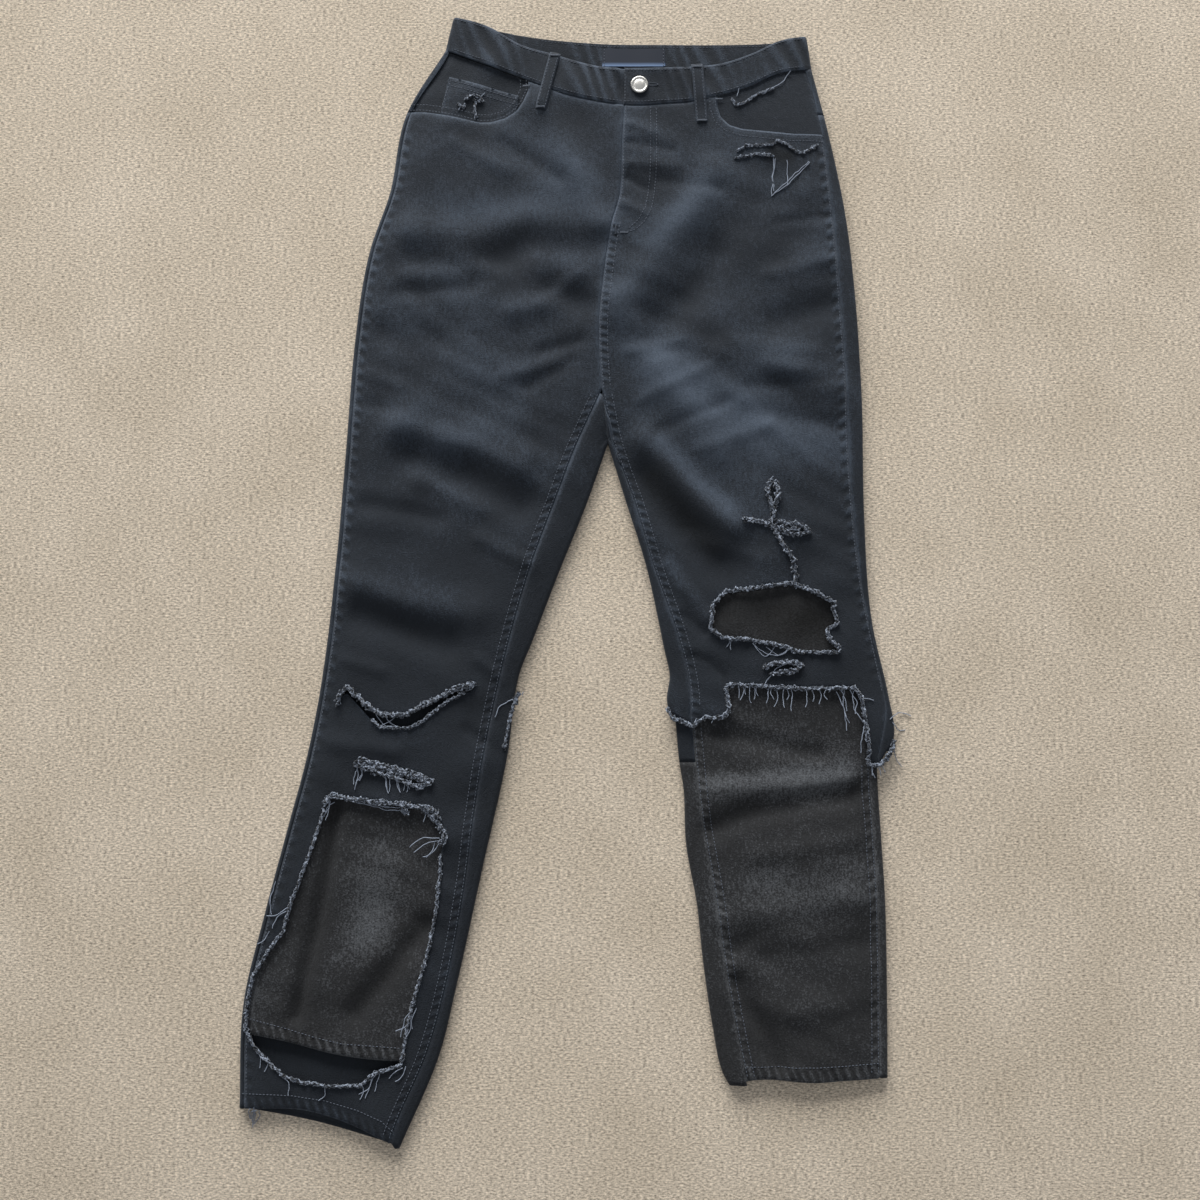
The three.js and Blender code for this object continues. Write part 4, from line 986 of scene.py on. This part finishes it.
for number, (top_end, bottom_end) in enumerate(
    [((-112, 593), (-118, 528)), ((38, 581), (35, 516)), ((176, 581), (180, 516))], 1
):
    along = np.array(bottom_end, float) - top_end
    side = np.array([-along[1], along[0]]) / np.hypot(*along) * 5.7
    outline = np.array([top_end - side, top_end + side, bottom_end + side, bottom_end - side])
    points, faces, way_in = fill(outline, [], 3.0)
    name = f"belt_loop_back_{number}"
    lying = np.column_stack([points, np.full(len(points), 1.35)])
    loop = new_piece(
        name, lying, faces, black_denim, 0.4 + 0 * way_in, (name,), 1.3)

# ---------------------------------------------------------------- label
# A bare woven satin tape inside the back of the waist, near black, sewn on at both ends. Its lower
# edge is painted light blue: a painted sheen.
woven_tape, tree, shader = new_material("woven_satin_tape")
place = node(tree, "ShaderNodeTexCoord").outputs["Object"]
across_tape = node(tree, "ShaderNodeSeparateXYZ", [("Vector", place)])
# painted sheen: the tape is painted light blue towards its lower edge
painted_sheen_edge = node(tree, "ShaderNodeMapRange", [("Value", across_tape.outputs["Y"])])
painted_sheen_edge.inputs["From Min"].default_value = 0.5212
painted_sheen_edge.inputs["From Max"].default_value = 0.5172
tint = node(tree, "ShaderNodeMix", [("Factor", painted_sheen_edge.outputs["Result"])], data_type="RGBA")
tint.inputs["A"].default_value = linear("161f2e")
tint.inputs["B"].default_value = linear("6c84a8")
tree.links.new(tint.outputs["Result"], shader.inputs["Base Color"])
shader.inputs["Roughness"].default_value = 0.55
shader.inputs["Specular IOR Level"].default_value = 0.3
label_points, label_faces, _ = fill(np.array([(2.4, 558), (68, 558), (68, 577), (2.4, 577)], float), [], 3.0)
x, y = label_points.T
lift = 5.05 + 0.2 * np.sin((x - 2.4) / 65.6 * math.pi) + 0.15 * np.sin(x / 7)
label = new_piece(
    "waist_label", np.column_stack([x, y, lift]), label_faces, woven_tape, None,
    ("waist_label",), 0.3)
label.data.polygons.foreach_set("use_smooth", [False] * len(label.data.polygons))

# ---------------------------------------------------------------- button
# A pressed steel jeans button, dull silver: a domed cap with a rolled rim and a ring of fine
# punched marks, on a shank through the buttonhole.
button_steel, tree, shader = new_material("brushed_nickelled_steel")
place = node(tree, "ShaderNodeTexCoord").outputs["Object"]
scratches = node(tree, "ShaderNodeTexNoise", [("Vector", place)], Scale=700.0, Detail=3.0)
shine = node(tree, "ShaderNodeMapRange", [("Value", scratches.outputs["Fac"])])
shine.inputs["To Min"].default_value = 0.28
shine.inputs["To Max"].default_value = 0.5
tree.links.new(shine.outputs["Result"], shader.inputs["Roughness"])
shader.inputs["Base Color"].default_value = linear("c9c8c4")
shader.inputs["Metallic"].default_value = 1.0
BUTTON_AT = (40.6, 531.8)
seat = float(band_top(*BUTTON_AT)) + 0.3
profile = [
    (0, -2.4), (2.6, -2.4), (2.6, 0), (8.2, 0), (8.9, 0.35), (9.2, 1.0), (9.0, 1.7), (8.3, 2.25),
    (7.5, 2.3), (6.9, 1.95), (6.4, 1.75), (5.2, 2.1), (3.4, 2.35), (1.6, 2.45), (0, 2.48),
]
SIDES = 72
points, faces = [], []
for ring, (radius, height) in enumerate(profile):
    for i in range(SIDES):
        angle = 2 * math.pi * i / SIDES
        dent = 0.22 * (i % 3 == 0) if ring in (10, 11) else 0.0
        points.append((BUTTON_AT[0] + radius * math.cos(angle), BUTTON_AT[1] + radius * math.sin(angle),
                       seat + height - dent))
        if ring:
            a, b = (ring - 1) * SIDES + i, (ring - 1) * SIDES + (i + 1) % SIDES
            faces.append((a, b, b + SIDES, a + SIDES))
new_piece("waist_button", points, faces, button_steel, None, ("waist_button",))

# ---------------------------------------------------------------- stitching
# Lockstitch in charcoal thread: two rows on the felled seams, the waistband and the pocket
# mouths, one round the fly's J, and dense bartacks where a loop or seam ends.
sewing_thread, tree, shader = new_material("charcoal_sewing_thread")
shader.inputs["Base Color"].default_value = linear("575e69")
shader.inputs["Roughness"].default_value = 0.75
shader.inputs["Specular IOR Level"].default_value = 0.3


def new_tree(name, **settings):
    """A Geometry Nodes tree with a geometry and a material input, and the named numbers."""
    made = bpy.data.node_groups.new(name, "GeometryNodeTree")
    made.interface.new_socket(name="Geometry", in_out="INPUT", socket_type="NodeSocketGeometry")
    made.interface.new_socket(name="Finish", in_out="INPUT", socket_type="NodeSocketMaterial")
    for setting, value in settings.items():
        socket = made.interface.new_socket(
            name=setting.replace("_", " "), in_out="INPUT", socket_type="NodeSocketFloat")
        socket.default_value = value
    made.interface.new_socket(name="Geometry", in_out="OUTPUT", socket_type="NodeSocketGeometry")
    return made, made.nodes.new("NodeGroupInput").outputs


def finish_tree(tree, inputs, shape):
    whole = node(tree, "GeometryNodeRealizeInstances", [("Geometry", shape)])
    smooth = node(tree, "GeometryNodeSetShadeSmooth", [("Geometry", whole.outputs[0])])
    dressed = node(tree, "GeometryNodeSetMaterial",
                   [("Geometry", smooth.outputs[0]), ("Material", inputs["Finish"])])
    node(tree, "NodeGroupOutput", [("Geometry", dressed.outputs[0])])


def grown(name, tree, lines, finish, slot, **settings):
    """Runs a tree over lines of points, in plan mm, and keeps what it makes as one piece."""
    points, edges = [], []
    for line in lines:
        start = len(points)
        points += [tuple(p) for p in in_frame(line)]
        edges += [(start + i, start + i + 1) for i in range(len(line) - 1)]
    mesh = bpy.data.meshes.new(name + "_paths")
    mesh.from_pydata(points, edges, [])
    source = bpy.data.objects.new(name + "_paths", mesh)
    bpy.context.collection.objects.link(source)
    modifier = source.modifiers.new("grow", "NODES")
    modifier.node_group = tree
    sockets = {s.name: s.identifier for s in tree.interface.items_tree if s.in_out == "INPUT"}
    modifier[sockets["Finish"]] = finish
    for setting, value in settings.items():
        modifier[sockets[setting.replace("_", " ")]] = value
    source.update_tag()
    graph = bpy.context.evaluated_depsgraph_get()
    made = bpy.data.meshes.new_from_object(source.evaluated_get(graph), depsgraph=graph)
    made.name = name
    bpy.data.objects.remove(source)
    piece = bpy.data.objects.new(name, made)
    bpy.context.collection.objects.link(piece)
    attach(piece, "root")
    return piece


stitch_tree, inputs = new_tree("lockstitch", Pitch=0.0034, Length=0.0026, Thread=0.0004)
path = node(stitch_tree, "GeometryNodeMeshToCurve", [("Mesh", inputs["Geometry"])])
spaced = node(stitch_tree, "GeometryNodeResampleCurve",
              [("Curve", path.outputs[0]), ("Length", inputs["Pitch"])], mode="LENGTH")
bead = node(stitch_tree, "GeometryNodeMeshUVSphere", Segments=6, Rings=4, Radius=0.5)
size = node(stitch_tree, "ShaderNodeCombineXYZ", [("X", inputs["Length"])])
thick = node(stitch_tree, "ShaderNodeMath", [(0, inputs["Thread"])], operation="MULTIPLY")
thick.inputs[1].default_value = 2.0
stitch_tree.links.new(thick.outputs[0], size.inputs["Y"])
stitch_tree.links.new(thick.outputs[0], size.inputs["Z"])
stitch = node(stitch_tree, "GeometryNodeTransform",
              [("Geometry", bead.outputs[0]), ("Scale", size.outputs[0])])
tangent = node(stitch_tree, "GeometryNodeInputTangent")
aim_along = node(stitch_tree, "FunctionNodeAlignRotationToVector", [("Vector", tangent.outputs[0])], axis="X")
rows = node(stitch_tree, "GeometryNodeInstanceOnPoints",
            [("Points", spaced.outputs[0]), ("Instance", stitch.outputs[0]),
             ("Rotation", aim_along.outputs[0])])
finish_tree(stitch_tree, inputs, rows.outputs[0])


def on_cloth(line, raised=0.1, top=outer_top, step=1.7, roll=0.0):
    """A plan line laid on the cloth's face, slightly above it."""
    p = resampled(line, step)
    return np.column_stack([p, top(*p.T) + raised - roll])


def beside(line, y_from, y_to, shift, raised=0.1, top=outer_top):
    p = part_of(line, y_from, y_to, 2.0)
    roll = SEAM_ROLL * math.exp(-((shift / 2.0) ** 2))
    return on_cloth(p + (shift, 0), raised, top, roll=roll)


def scoop_row(scoop, inset):
    p = np.array(scoop, float)
    direction = np.gradient(p, axis=0)
    normal = np.column_stack([direction[:, 1], -direction[:, 0]])
    normal /= np.hypot(*normal.T)[:, None]
    return on_cloth(p + normal * inset, roll=SEAM_ROLL * math.exp(-((inset / 2) ** 2)))


FLY_J = [(58, 506), (58, 458), (57, 432), (55, 414), (52, 398), (45, 385), (36, 377), (25, 373)]
HEM_ROW = [(-341, -475), (-293, -476), (-262, -481), (-231, -490), (-208, -500), (-198, -509)]
front_rows = [
    beside(CENTRE_FRONT, 380, 509, 1.8), on_cloth(FLY_J), on_cloth([(x - 6, y + 2) for x, y in FLY_J[:7]]),
    beside(CENTRE_FRONT, 214, 385, 1.8), beside(CENTRE_FRONT, 216, 383, 8.5),
    beside(RIGHT_INSEAM, -515, 205, -1.8), beside(RIGHT_INSEAM, -512, 205, -8.6),
    beside(LEFT_INSEAM, -108, 205, 1.8), beside(LEFT_INSEAM, -104, 205, 8.8),
    scoop_row(RIGHT_SCOOP, 2.0), scoop_row(RIGHT_SCOOP, 8.0),
    scoop_row(LEFT_SCOOP[::-1], -2.0), scoop_row(LEFT_SCOOP[::-1], -8.0),
    on_cloth(HEM_ROW), beside(RIGHT_OUTSEAM, -480, 495, 2.0), beside(LEFT_OUTSEAM, -90, 472, -2.0),
]
coin_edge = [(-153, 541), (-86, 520)]
front_rows += [
    on_cloth([(x + 0.5, y - drop) for x, y in coin_edge], -1.35) for drop in (3, 9)
] + [on_cloth([(-154, 541), (-163, 508)], -1.35), on_cloth([(-87, 518), (-89, 506)], -1.35)]
grown("seam_stitches", stitch_tree, front_rows, sewing_thread, "outer_denim")


def band_row(v, x_from, x_to, face=1, lift=0.15):
    x = np.arange(x_from, x_to, 3.0)
    seam, edge = (FRONT_WAIST, FRONT_TOP) if face > 0 else (BACK_WAIST, BACK_TOP)
    y = lerp(smooth_through(seam, x), smooth_through(edge, x), v)
    z = band_top(x, y) + lift if face > 0 else seat_lift(y) + BAND_WALL + lift
    return np.column_stack([x, y, z])


band_rows = [band_row(v, -150, 22) for v in (0.09, 0.93)] + [band_row(v, 26, 212) for v in (0.09, 0.93)]
band_rows += [band_row(0.93, -60, 180, face=-1)]
for end in (4.4, 66.0):
    band_rows.append(np.array([(end, y, 5.35) for y in np.linspace(559, 576, 12)]))
edge_x = FLY_END + 1.8
upright = [(edge_x, 514), (edge_x, 550)]
band_rows.append(on_cloth(upright, 0.9))
for top_end, bottom_end, width in FRONT_LOOPS:
    along = np.array(bottom_end, float) - top_end
    side = np.array([-along[1], along[0]]) / np.hypot(*along)
    for shift in (-width / 2 + 1.6, width / 2 - 1.6):
        s = np.linspace(0.03, 0.97, 24)
        p = np.array(top_end) + along * s[:, None] + side * shift
        lift = 1.5 + 1.1 * ease(p[:, 1], smooth_through(FRONT_WAIST, p[:, 0]) - 12,
                                smooth_through(FRONT_WAIST, p[:, 0]) + 3) + 0.9 * np.sin(math.pi * s) ** 0.5
        band_rows.append(np.column_stack([p, outer_top(*p.T) + lift - 0.05]))
grown("waistband_stitches", stitch_tree, band_rows, sewing_thread, "outer_denim")

# Bartacks: short dense zigzags, and the buttonhole's corded edge
tacks = []
for (cx, cy), (wide, high), lift in (
    ((-61.0, 505.5), (9, 2.4), 2.6), ((-47.5, 563.5), (9, 2.4), 3.5), ((104.4, 492.6), (9.6, 2.4), 2.6),
    ((100.2, 550.6), (9.6, 2.4), 3.5), ((16.0, 376.5), (2.2, 9), 0.25), ((24.5, 373.5), (8, 2.2), 0.25),
    ((-76.0, 531.0), (7, 2.2), 0.3), ((122.6, 516.5), (7, 2.2), 0.3),
):
    count = 26
    s = np.linspace(-0.5, 0.5, count)
    zig = np.where(np.arange(count) % 2, 0.5, -0.5)
    dx, dy = (s * wide, zig * high) if wide > high else (zig * wide, s * high)
    x, y = cx + dx, cy + dy
    tacks.append(np.column_stack([x, y, outer_top(x, y) + lift]))
turn = np.linspace(0, 2 * math.pi, 40)
x, y = 54.0 + 6.0 * np.cos(turn), 532.8 + 1.3 * np.sin(turn)
tacks.append(np.column_stack([x, y, band_top(x, y) + 0.3]))

# ---------------------------------------------------------------- frayed edges and loose yarn
# Where the twill is worn through, its dyed warp has broken and rolled up into a fuzzy cord of
# pale weft yarn, with loops, knots and long loose threads hanging out of it.
worn_yarn, tree, shader = new_material("frayed_cotton_yarn")
place = node(tree, "ShaderNodeTexCoord").outputs["Object"]
mottle = node(tree, "ShaderNodeTexNoise", [("Vector", place)], Scale=380.0, Detail=2.0)
ramp = node(tree, "ShaderNodeValToRGB", [("Fac", mottle.outputs["Fac"])])
ramp.color_ramp.elements[0].position = 0.40
ramp.color_ramp.elements[0].color = linear("1c2026")
ramp.color_ramp.elements[1].position = 0.66
ramp.color_ramp.elements[1].color = linear("8f99a9")
tree.links.new(ramp.outputs["Color"], shader.inputs["Base Color"])
shader.inputs["Roughness"].default_value = 0.95
shader.inputs["Specular IOR Level"].default_value = 0.15
shader.inputs["Sheen Weight"].default_value = 0.3
loose_yarn, tree, shader = new_material("loose_cotton_thread")
shader.inputs["Base Color"].default_value = linear("8a93a2")
shader.inputs["Roughness"].default_value = 0.9
shader.inputs["Specular IOR Level"].default_value = 0.15


def wandering_yarn(tree, path, inputs, seed):
    """A yarn that strays from the path by Spread, its thickness from Yarn."""
    position = node(tree, "GeometryNodeInputPosition")
    moved = node(tree, "ShaderNodeVectorMath", [(0, position.outputs[0])], operation="ADD")
    moved.inputs[1].default_value = (seed * 0.371, seed * 0.173, seed * 0.297)
    noise = node(tree, "ShaderNodeTexNoise",
                 [("Vector", moved.outputs[0]), ("Scale", inputs["Waves"])], Detail=1.5)
    centred = node(tree, "ShaderNodeVectorMath", [(0, noise.outputs["Color"])], operation="SUBTRACT")
    centred.inputs[1].default_value = (0.5, 0.5, 0.42)
    scaled = node(tree, "ShaderNodeVectorMath",
                  [(0, centred.outputs[0]), ("Scale", inputs["Spread"])], operation="SCALE")
    strayed = node(tree, "GeometryNodeSetPosition", [("Geometry", path), ("Offset", scaled.outputs[0])])
    ring = node(tree, "GeometryNodeCurvePrimitiveCircle", [("Radius", inputs["Yarn"])], Resolution=5)
    body = node(tree, "GeometryNodeCurveToMesh",
                [("Curve", strayed.outputs[0]), ("Profile Curve", ring.outputs[0])])
    return body.outputs[0]


def broken_loops(tree, path, inputs, seed):
    """Short arcs of broken yarn standing out of the path at random angles."""
    arc = node(tree, "GeometryNodeCurveQuadraticBezier", Resolution=5)
    arc.inputs["Start"].default_value = (-0.0011, 0, 0)
    arc.inputs["Middle"].default_value = (0.0002, 0.0030, 0.0012)
    arc.inputs["End"].default_value = (0.0012, 0, 0)
    turned = node(tree, "FunctionNodeRandomValue", data_type="FLOAT_VECTOR")
    turned.inputs[0].default_value = (-0.9, -0.7, 0)
    turned.inputs[1].default_value = (0.9, 0.7, 6.283)
    turned.inputs["Seed"].default_value = seed
    sized = node(tree, "FunctionNodeRandomValue", data_type="FLOAT")
    sized.inputs[2].default_value = 0.45
    sized.inputs[3].default_value = 1.25
    sized.inputs["Seed"].default_value = seed + 7
    scale = node(tree, "ShaderNodeMath", [(0, sized.outputs[1]), (1, inputs["Loops"])], operation="MULTIPLY")
    placed = node(tree, "GeometryNodeInstanceOnPoints",
                  [("Points", path), ("Instance", arc.outputs[0]), ("Rotation", turned.outputs[0]),
                   ("Scale", scale.outputs[0])])
    whole = node(tree, "GeometryNodeRealizeInstances", [("Geometry", placed.outputs[0])])
    ring = node(tree, "GeometryNodeCurvePrimitiveCircle", Resolution=4, Radius=0.00030)
    body = node(tree, "GeometryNodeCurveToMesh",
                [("Curve", whole.outputs[0]), ("Profile Curve", ring.outputs[0])])
    return body.outputs[0]


fray_tree, inputs = new_tree("frayed_edge", Spread=0.0155, Yarn=0.00078, Waves=300.0, Loops=1.25)
path = node(fray_tree, "GeometryNodeMeshToCurve", [("Mesh", inputs["Geometry"])])
fine = node(fray_tree, "GeometryNodeResampleCurve", [("Curve", path.outputs[0])],
            mode="LENGTH", Length=0.0013)
join = node(fray_tree, "GeometryNodeJoinGeometry")
for seed in (1, 2, 3, 4, 5, 6):
    fray_tree.links.new(wandering_yarn(fray_tree, fine.outputs[0], inputs, seed), join.inputs[0])
for seed in (11, 12):
    fray_tree.links.new(broken_loops(fray_tree, fine.outputs[0], inputs, seed), join.inputs[0])
finish_tree(fray_tree, inputs, join.outputs[0])

thread_tree, inputs = new_tree("loose_thread", Spread=0.005, Yarn=0.00042, Waves=90.0)
path = node(thread_tree, "GeometryNodeMeshToCurve", [("Mesh", inputs["Geometry"])])
fine = node(thread_tree, "GeometryNodeResampleCurve", [("Curve", path.outputs[0])],
            mode="LENGTH", Length=0.0012)
finish_tree(thread_tree, inputs, wandering_yarn(thread_tree, fine.outputs[0], inputs, 5))
grown("bartacks", thread_tree, tacks, sewing_thread, "outer_denim", Spread=0.0, Yarn=0.0003)

thick_right = [
    on_cloth(line, 0.5) for line in (
        [(-258, -103), (-256, -95), (-249, -87), (-237, -98), (-222, -111), (-205, -115), (-189, -114),
         (-170, -104), (-147, -92), (-124, -83)],
        SHORT_RIP + SHORT_RIP[:1], [(-235, -162), (-210, -168), (-180, -176), (-166, -180)],
        [(-268, -200), (-262, -193), (-243, -196), (-205, -200), (-174, -204), (-158, -219), (-150, -231),
         (-154, -240)],
        [(-176, -203), (-166, -205), (-158, -213), (-161, -207)], [(-190, -200), (-192, -208), (-187, -210)],
    )
]
grown("fray_front_right", fray_tree, thick_right, worn_yarn, "outer_denim")
thin_right = [
    on_cloth(line, 0.4) for line in (
        [(-122, -84), (-133, -93), (-151, -102), (-162, -111), (-174, -121), (-187, -128), (-201, -127),
         (-216, -127), (-223, -119)],
        WINDOW_RIP[6:], [WINDOW_RIP[0], WINDOW_RIP[-1]],
        [(-81, -93), (-84, -101), (-90, -124), (-94, -148)], [(-79, -94), (-83, -98), (-82, -104)],
    )
]
grown("fray_front_right_thin", fray_tree, thin_right, worn_yarn, "outer_denim",
      Spread=0.0095, Yarn=0.0006, Loops=0.95)
thick_left = [
    on_cloth(line, 0.5) for line in (
        [(170, 118), (167, 108), (169, 98), (173, 88), (171, 78)], [(174, 117), (178, 104), (174, 90)],
        [(142, 79), (155, 78), (169, 75)], [(169, 78), (175, 66), (180, 56), (191, 41), (194, 24), (193, 16)],
        [(175, 77), (186, 76), (200, 73), (208, 67), (200, 64), (186, 65), (178, 70)],
        [(180, 72), (190, 70), (198, 69)],
        [(162, -68), (172, -64), (186, -63), (200, -66), (190, -72), (168, -74)],
    )
]
grown("fray_left_thigh", fray_tree, thick_left, worn_yarn, "outer_denim")
knee_ring = KNEE_HOLE + KNEE_HOLE[:1]
cut_line = [(67, -108), (71, -118), (91, -126)] + KNEE_CUT
cut_line += [(274, -164), (281, -157), (286, -150), (289, -140)]
knee_lines = [on_cloth(knee_ring, 0.5), on_cloth(cut_line, 0.3)]
grown("fray_left_knee", fray_tree, knee_lines, worn_yarn, "outer_denim",
      Spread=0.0125, Yarn=0.0007, Loops=1.15)
pocket_lines = [
    on_cloth(line, lift) for line, lift in (
        ([(-139, 516), (-131, 521), (-124, 519), (-121, 514), (-130, 516)], -1.2),
        ([(-146, 512), (-141, 507), (-139, 511)], -1.2), ([(-128, 514), (-129, 505), (-127, 498)], -1.2),
        ([(136, 516), (141, 510), (148, 513), (164, 523), (179, 529)], -1.3),
        ([(140, 460), (149, 465), (177, 467), (183, 471), (193, 467), (199, 460), (208, 458),
          (223, 468)], 0.3),
        ([(138, 452), (158, 456), (177, 455)], 0.3),
    )
]
grown("fray_pockets", fray_tree, pocket_lines, worn_yarn, "outer_denim",
      Spread=0.0085, Yarn=0.0005, Loops=0.8)


def hanging(x, y, dx, dy, bow=1.5, lift=0.8):
    """A loose end from a frayed edge, bowed to one side."""
    s = np.linspace(0, 1, 12)
    px = x + dx * s - bow * np.sin(math.pi * s) * dy / math.hypot(dx, dy)
    py = y + dy * s + bow * np.sin(math.pi * s) * dx / math.hypot(dx, dy)
    return np.column_stack([px, py, outer_top(px, py) + lift])


def bridge(start, end, sag, lift=-0.3):
    s = np.linspace(0, 1, 16)
    px, py = lerp(start[0], end[0], s), lerp(start[1], end[1], s) - sag * np.sin(math.pi * s)
    return np.column_stack([px, py, outer_top(px, py) + lift])


threads = [
    hanging(-237, -165, -2, -22), hanging(-236, -166, -4, -17, -2),
    hanging(-234, -165, -1, -14, 2), hanging(-231, -164, -7, -18, 1),
    hanging(-212, -171, 5, -19, 1), hanging(-209, -172, 3, -19, -1.5),
    hanging(-206, -173, 1, -16, 1), hanging(-201, -175, 6, -14), hanging(-197, -176, 3, -14, -2),
    hanging(-193, -177, 2, -11, 2), hanging(-189, -178, 1, -12), hanging(-185, -178, 0, -9, -2),
    bridge((-221, -113), (-205, -127), 3), bridge((-212, -115), (-190, -127), 5),
    bridge((-200, -116), (-215, -126), 1), hanging(-262, -198, -8, -14, 2),
    hanging(-263, -199, -4, -17, 1), hanging(-258, -199, -10, -12, -2),
    bridge((-240, -198), (-182, -205), 4), bridge((-230, -199), (-190, -203), 2.5),
    bridge((-245, -198), (-205, -203), 1.5), hanging(-156, -234, -28, -8, -4),
    hanging(-156, -237, -24, -10, -3), hanging(-157, -240, -14, -12, 2),
    hanging(-160, -238, -8, -14), hanging(-190, -204, -1, -7, 3), hanging(-171, -206, -1, -12),
    hanging(-299, -298, -24, -10, 3), hanging(-318, -306, 3, 30, 3),
    hanging(-303, -304, -14, -16, -3), hanging(-320, -323, -11, -12, 2),
    hanging(-330, -432, 6, -18, 2), hanging(-318, -440, -2, -14, 2),
    hanging(-182, -398, -8, -24, -2), hanging(-181, -404, -6, -20, 2),
    hanging(-176, -395, -4, -20, -2), hanging(-227, -467, -2, -13, 2),
    hanging(-330, -487, -5, -15, 2), hanging(-333, -488, -3, -12, -2),
    hanging(-84, -100, -19, -16, -5), hanging(-76, -96, 2, 4, 1),
    bridge((150, -44), (187, -50), 9, 0.3), bridge((151, -44), (172, -48), 11, 0.3),
    bridge((164, -47), (187, -50), 7, 0.2), hanging(127, -40, -2, -9, 1),
    hanging(129, -41, 1, -10, -1), hanging(191, -60, -29, -24, -3, 0.7), hanging(151, -86, 0, -13),
    hanging(154, -87, 1, -9, -1), hanging(165, -87, -1, -16, 1), hanging(168, -87, 2, -12, -1),
    hanging(180, -88, 1, -19, -1.5), hanging(184, -88, -1, -12, 2), hanging(188, -88, 0, -22, 1),
    hanging(202, -89, -1, -18, 2), hanging(207, -89, 2, -13), hanging(215, -89, 0, -15, 2),
    hanging(222, -90, 1, -10, -2), hanging(232, -92, 9, -37, 3), hanging(136, -86, 0, -12, 1),
    hanging(143, -86, -1, -9, -1), hanging(245, -90, 5, -24, 4), hanging(250, -90, 7, -30, -5),
    hanging(254, -95, 3, -40, 4), hanging(256, -98, 12, -3, 1), hanging(262, -160, 3, -14, 2),
    hanging(266, -163, 2, -13, -2), hanging(270, -164, 4, -10, 1), hanging(273, -163, 6, -8),
    hanging(289, -140, 8, -25, -3), hanging(286, -118, 22, 3, 4), hanging(288, -122, 14, -8, -3),
    hanging(124, -100, -2, -14, 2), hanging(108, -116, 1, -7), hanging(-130, 505, 1, -9, 1, -0.9),
    hanging(-143, 511, -2, -6, 1, -0.9), hanging(-127, 518, 8, 5, -1, -0.9),
    hanging(179, 529, 17, 19, -2, -0.6), hanging(141, 520, 2, 13, -1, -0.8),
    hanging(177, 453, -2, -39, 1, 0.4), hanging(179, 452, -1, -34, -1, 0.4),
    hanging(191, 450, -1, -27, 1, 0.4), bridge((174, 413), (214, 449), 4, 0.4),
    bridge((176, 414), (213, 450), 1, 0.4), hanging(193, 16, 1, -6), hanging(171, 118, 2, 5, 1),
]
threads += [
    hanging(-325, -489, -9, -17, 3), hanging(-328, -489, -6, -19, -2),
    hanging(-331, -489, -2, -14, 2), hanging(-327, -489, -8, -11, -3),
    hanging(-300, -459, 4, -16, 2), hanging(-262, -467, -6, -14, 3),
    hanging(-216, -457, -14, -18, 3), hanging(-213, -457, -11, -22, -2),
    hanging(-210, -456, -5, -16, 1), hanging(-186, -449, -9, -14, 2),
    hanging(-189, -450, -12, -10, -2), hanging(-181, -402, -14, -14, 3),
    hanging(140, -86, -3, -14, 2), hanging(147, -86, 2, -17, -2), hanging(173, -87, -2, -20, 2),
    hanging(240, -90, 4, -33, -3), hanging(236, -90, 6, -22, 2), hanging(259, -130, -4, -22, -2),
]


def settled(thread):
    """Lets a thread down to the floor where it runs off the cloth."""
    x, y, z = thread.T
    off = np.maximum(x_at(RIGHT_OUTER, y) - x, np.where(x > 50, x - x_at(LEFT_OUTER, y), 0))
    off = np.maximum(off, np.where(x < -100, smooth_through(FRONT_HEM, x) - y, 0))
    return np.column_stack([x, y, np.maximum(z - 1.3 * np.maximum(off, 0), 0.9)])


threads = [settled(t) for t in threads]
grown("loose_threads", thread_tree, threads, loose_yarn, "outer_denim")

# ---------------------------------------------------------------- stitching of the second pair
# Lockstitch in the same thread: two rows beside each seam of the left leg, and one row along
# each hem.
under_rows = [
    beside(LEFT_UNDER_INSEAM, -458, -128, 1.8, 0.15, left_under_top),
    beside(LEFT_UNDER_INSEAM, -458, -128, 8.5, 0.1, left_under_top),
    beside(LEFT_UNDER_OUTSEAM, -455, -165, -1.6, 0.15, left_under_top),
    beside(LEFT_UNDER_OUTSEAM, -455, -165, -8.0, 0.1, left_under_top),
    on_cloth([(141, -450), (207, -451), (240, -449), (266, -447)], 0.1, left_under_top),
    on_cloth([(-336, -406), (-301, -415), (-274, -423), (-247, -429), (-193, -433)], 0.1, right_under_top),
]
grown("under_leg_stitches", stitch_tree, under_rows, sewing_thread, "under_denim")
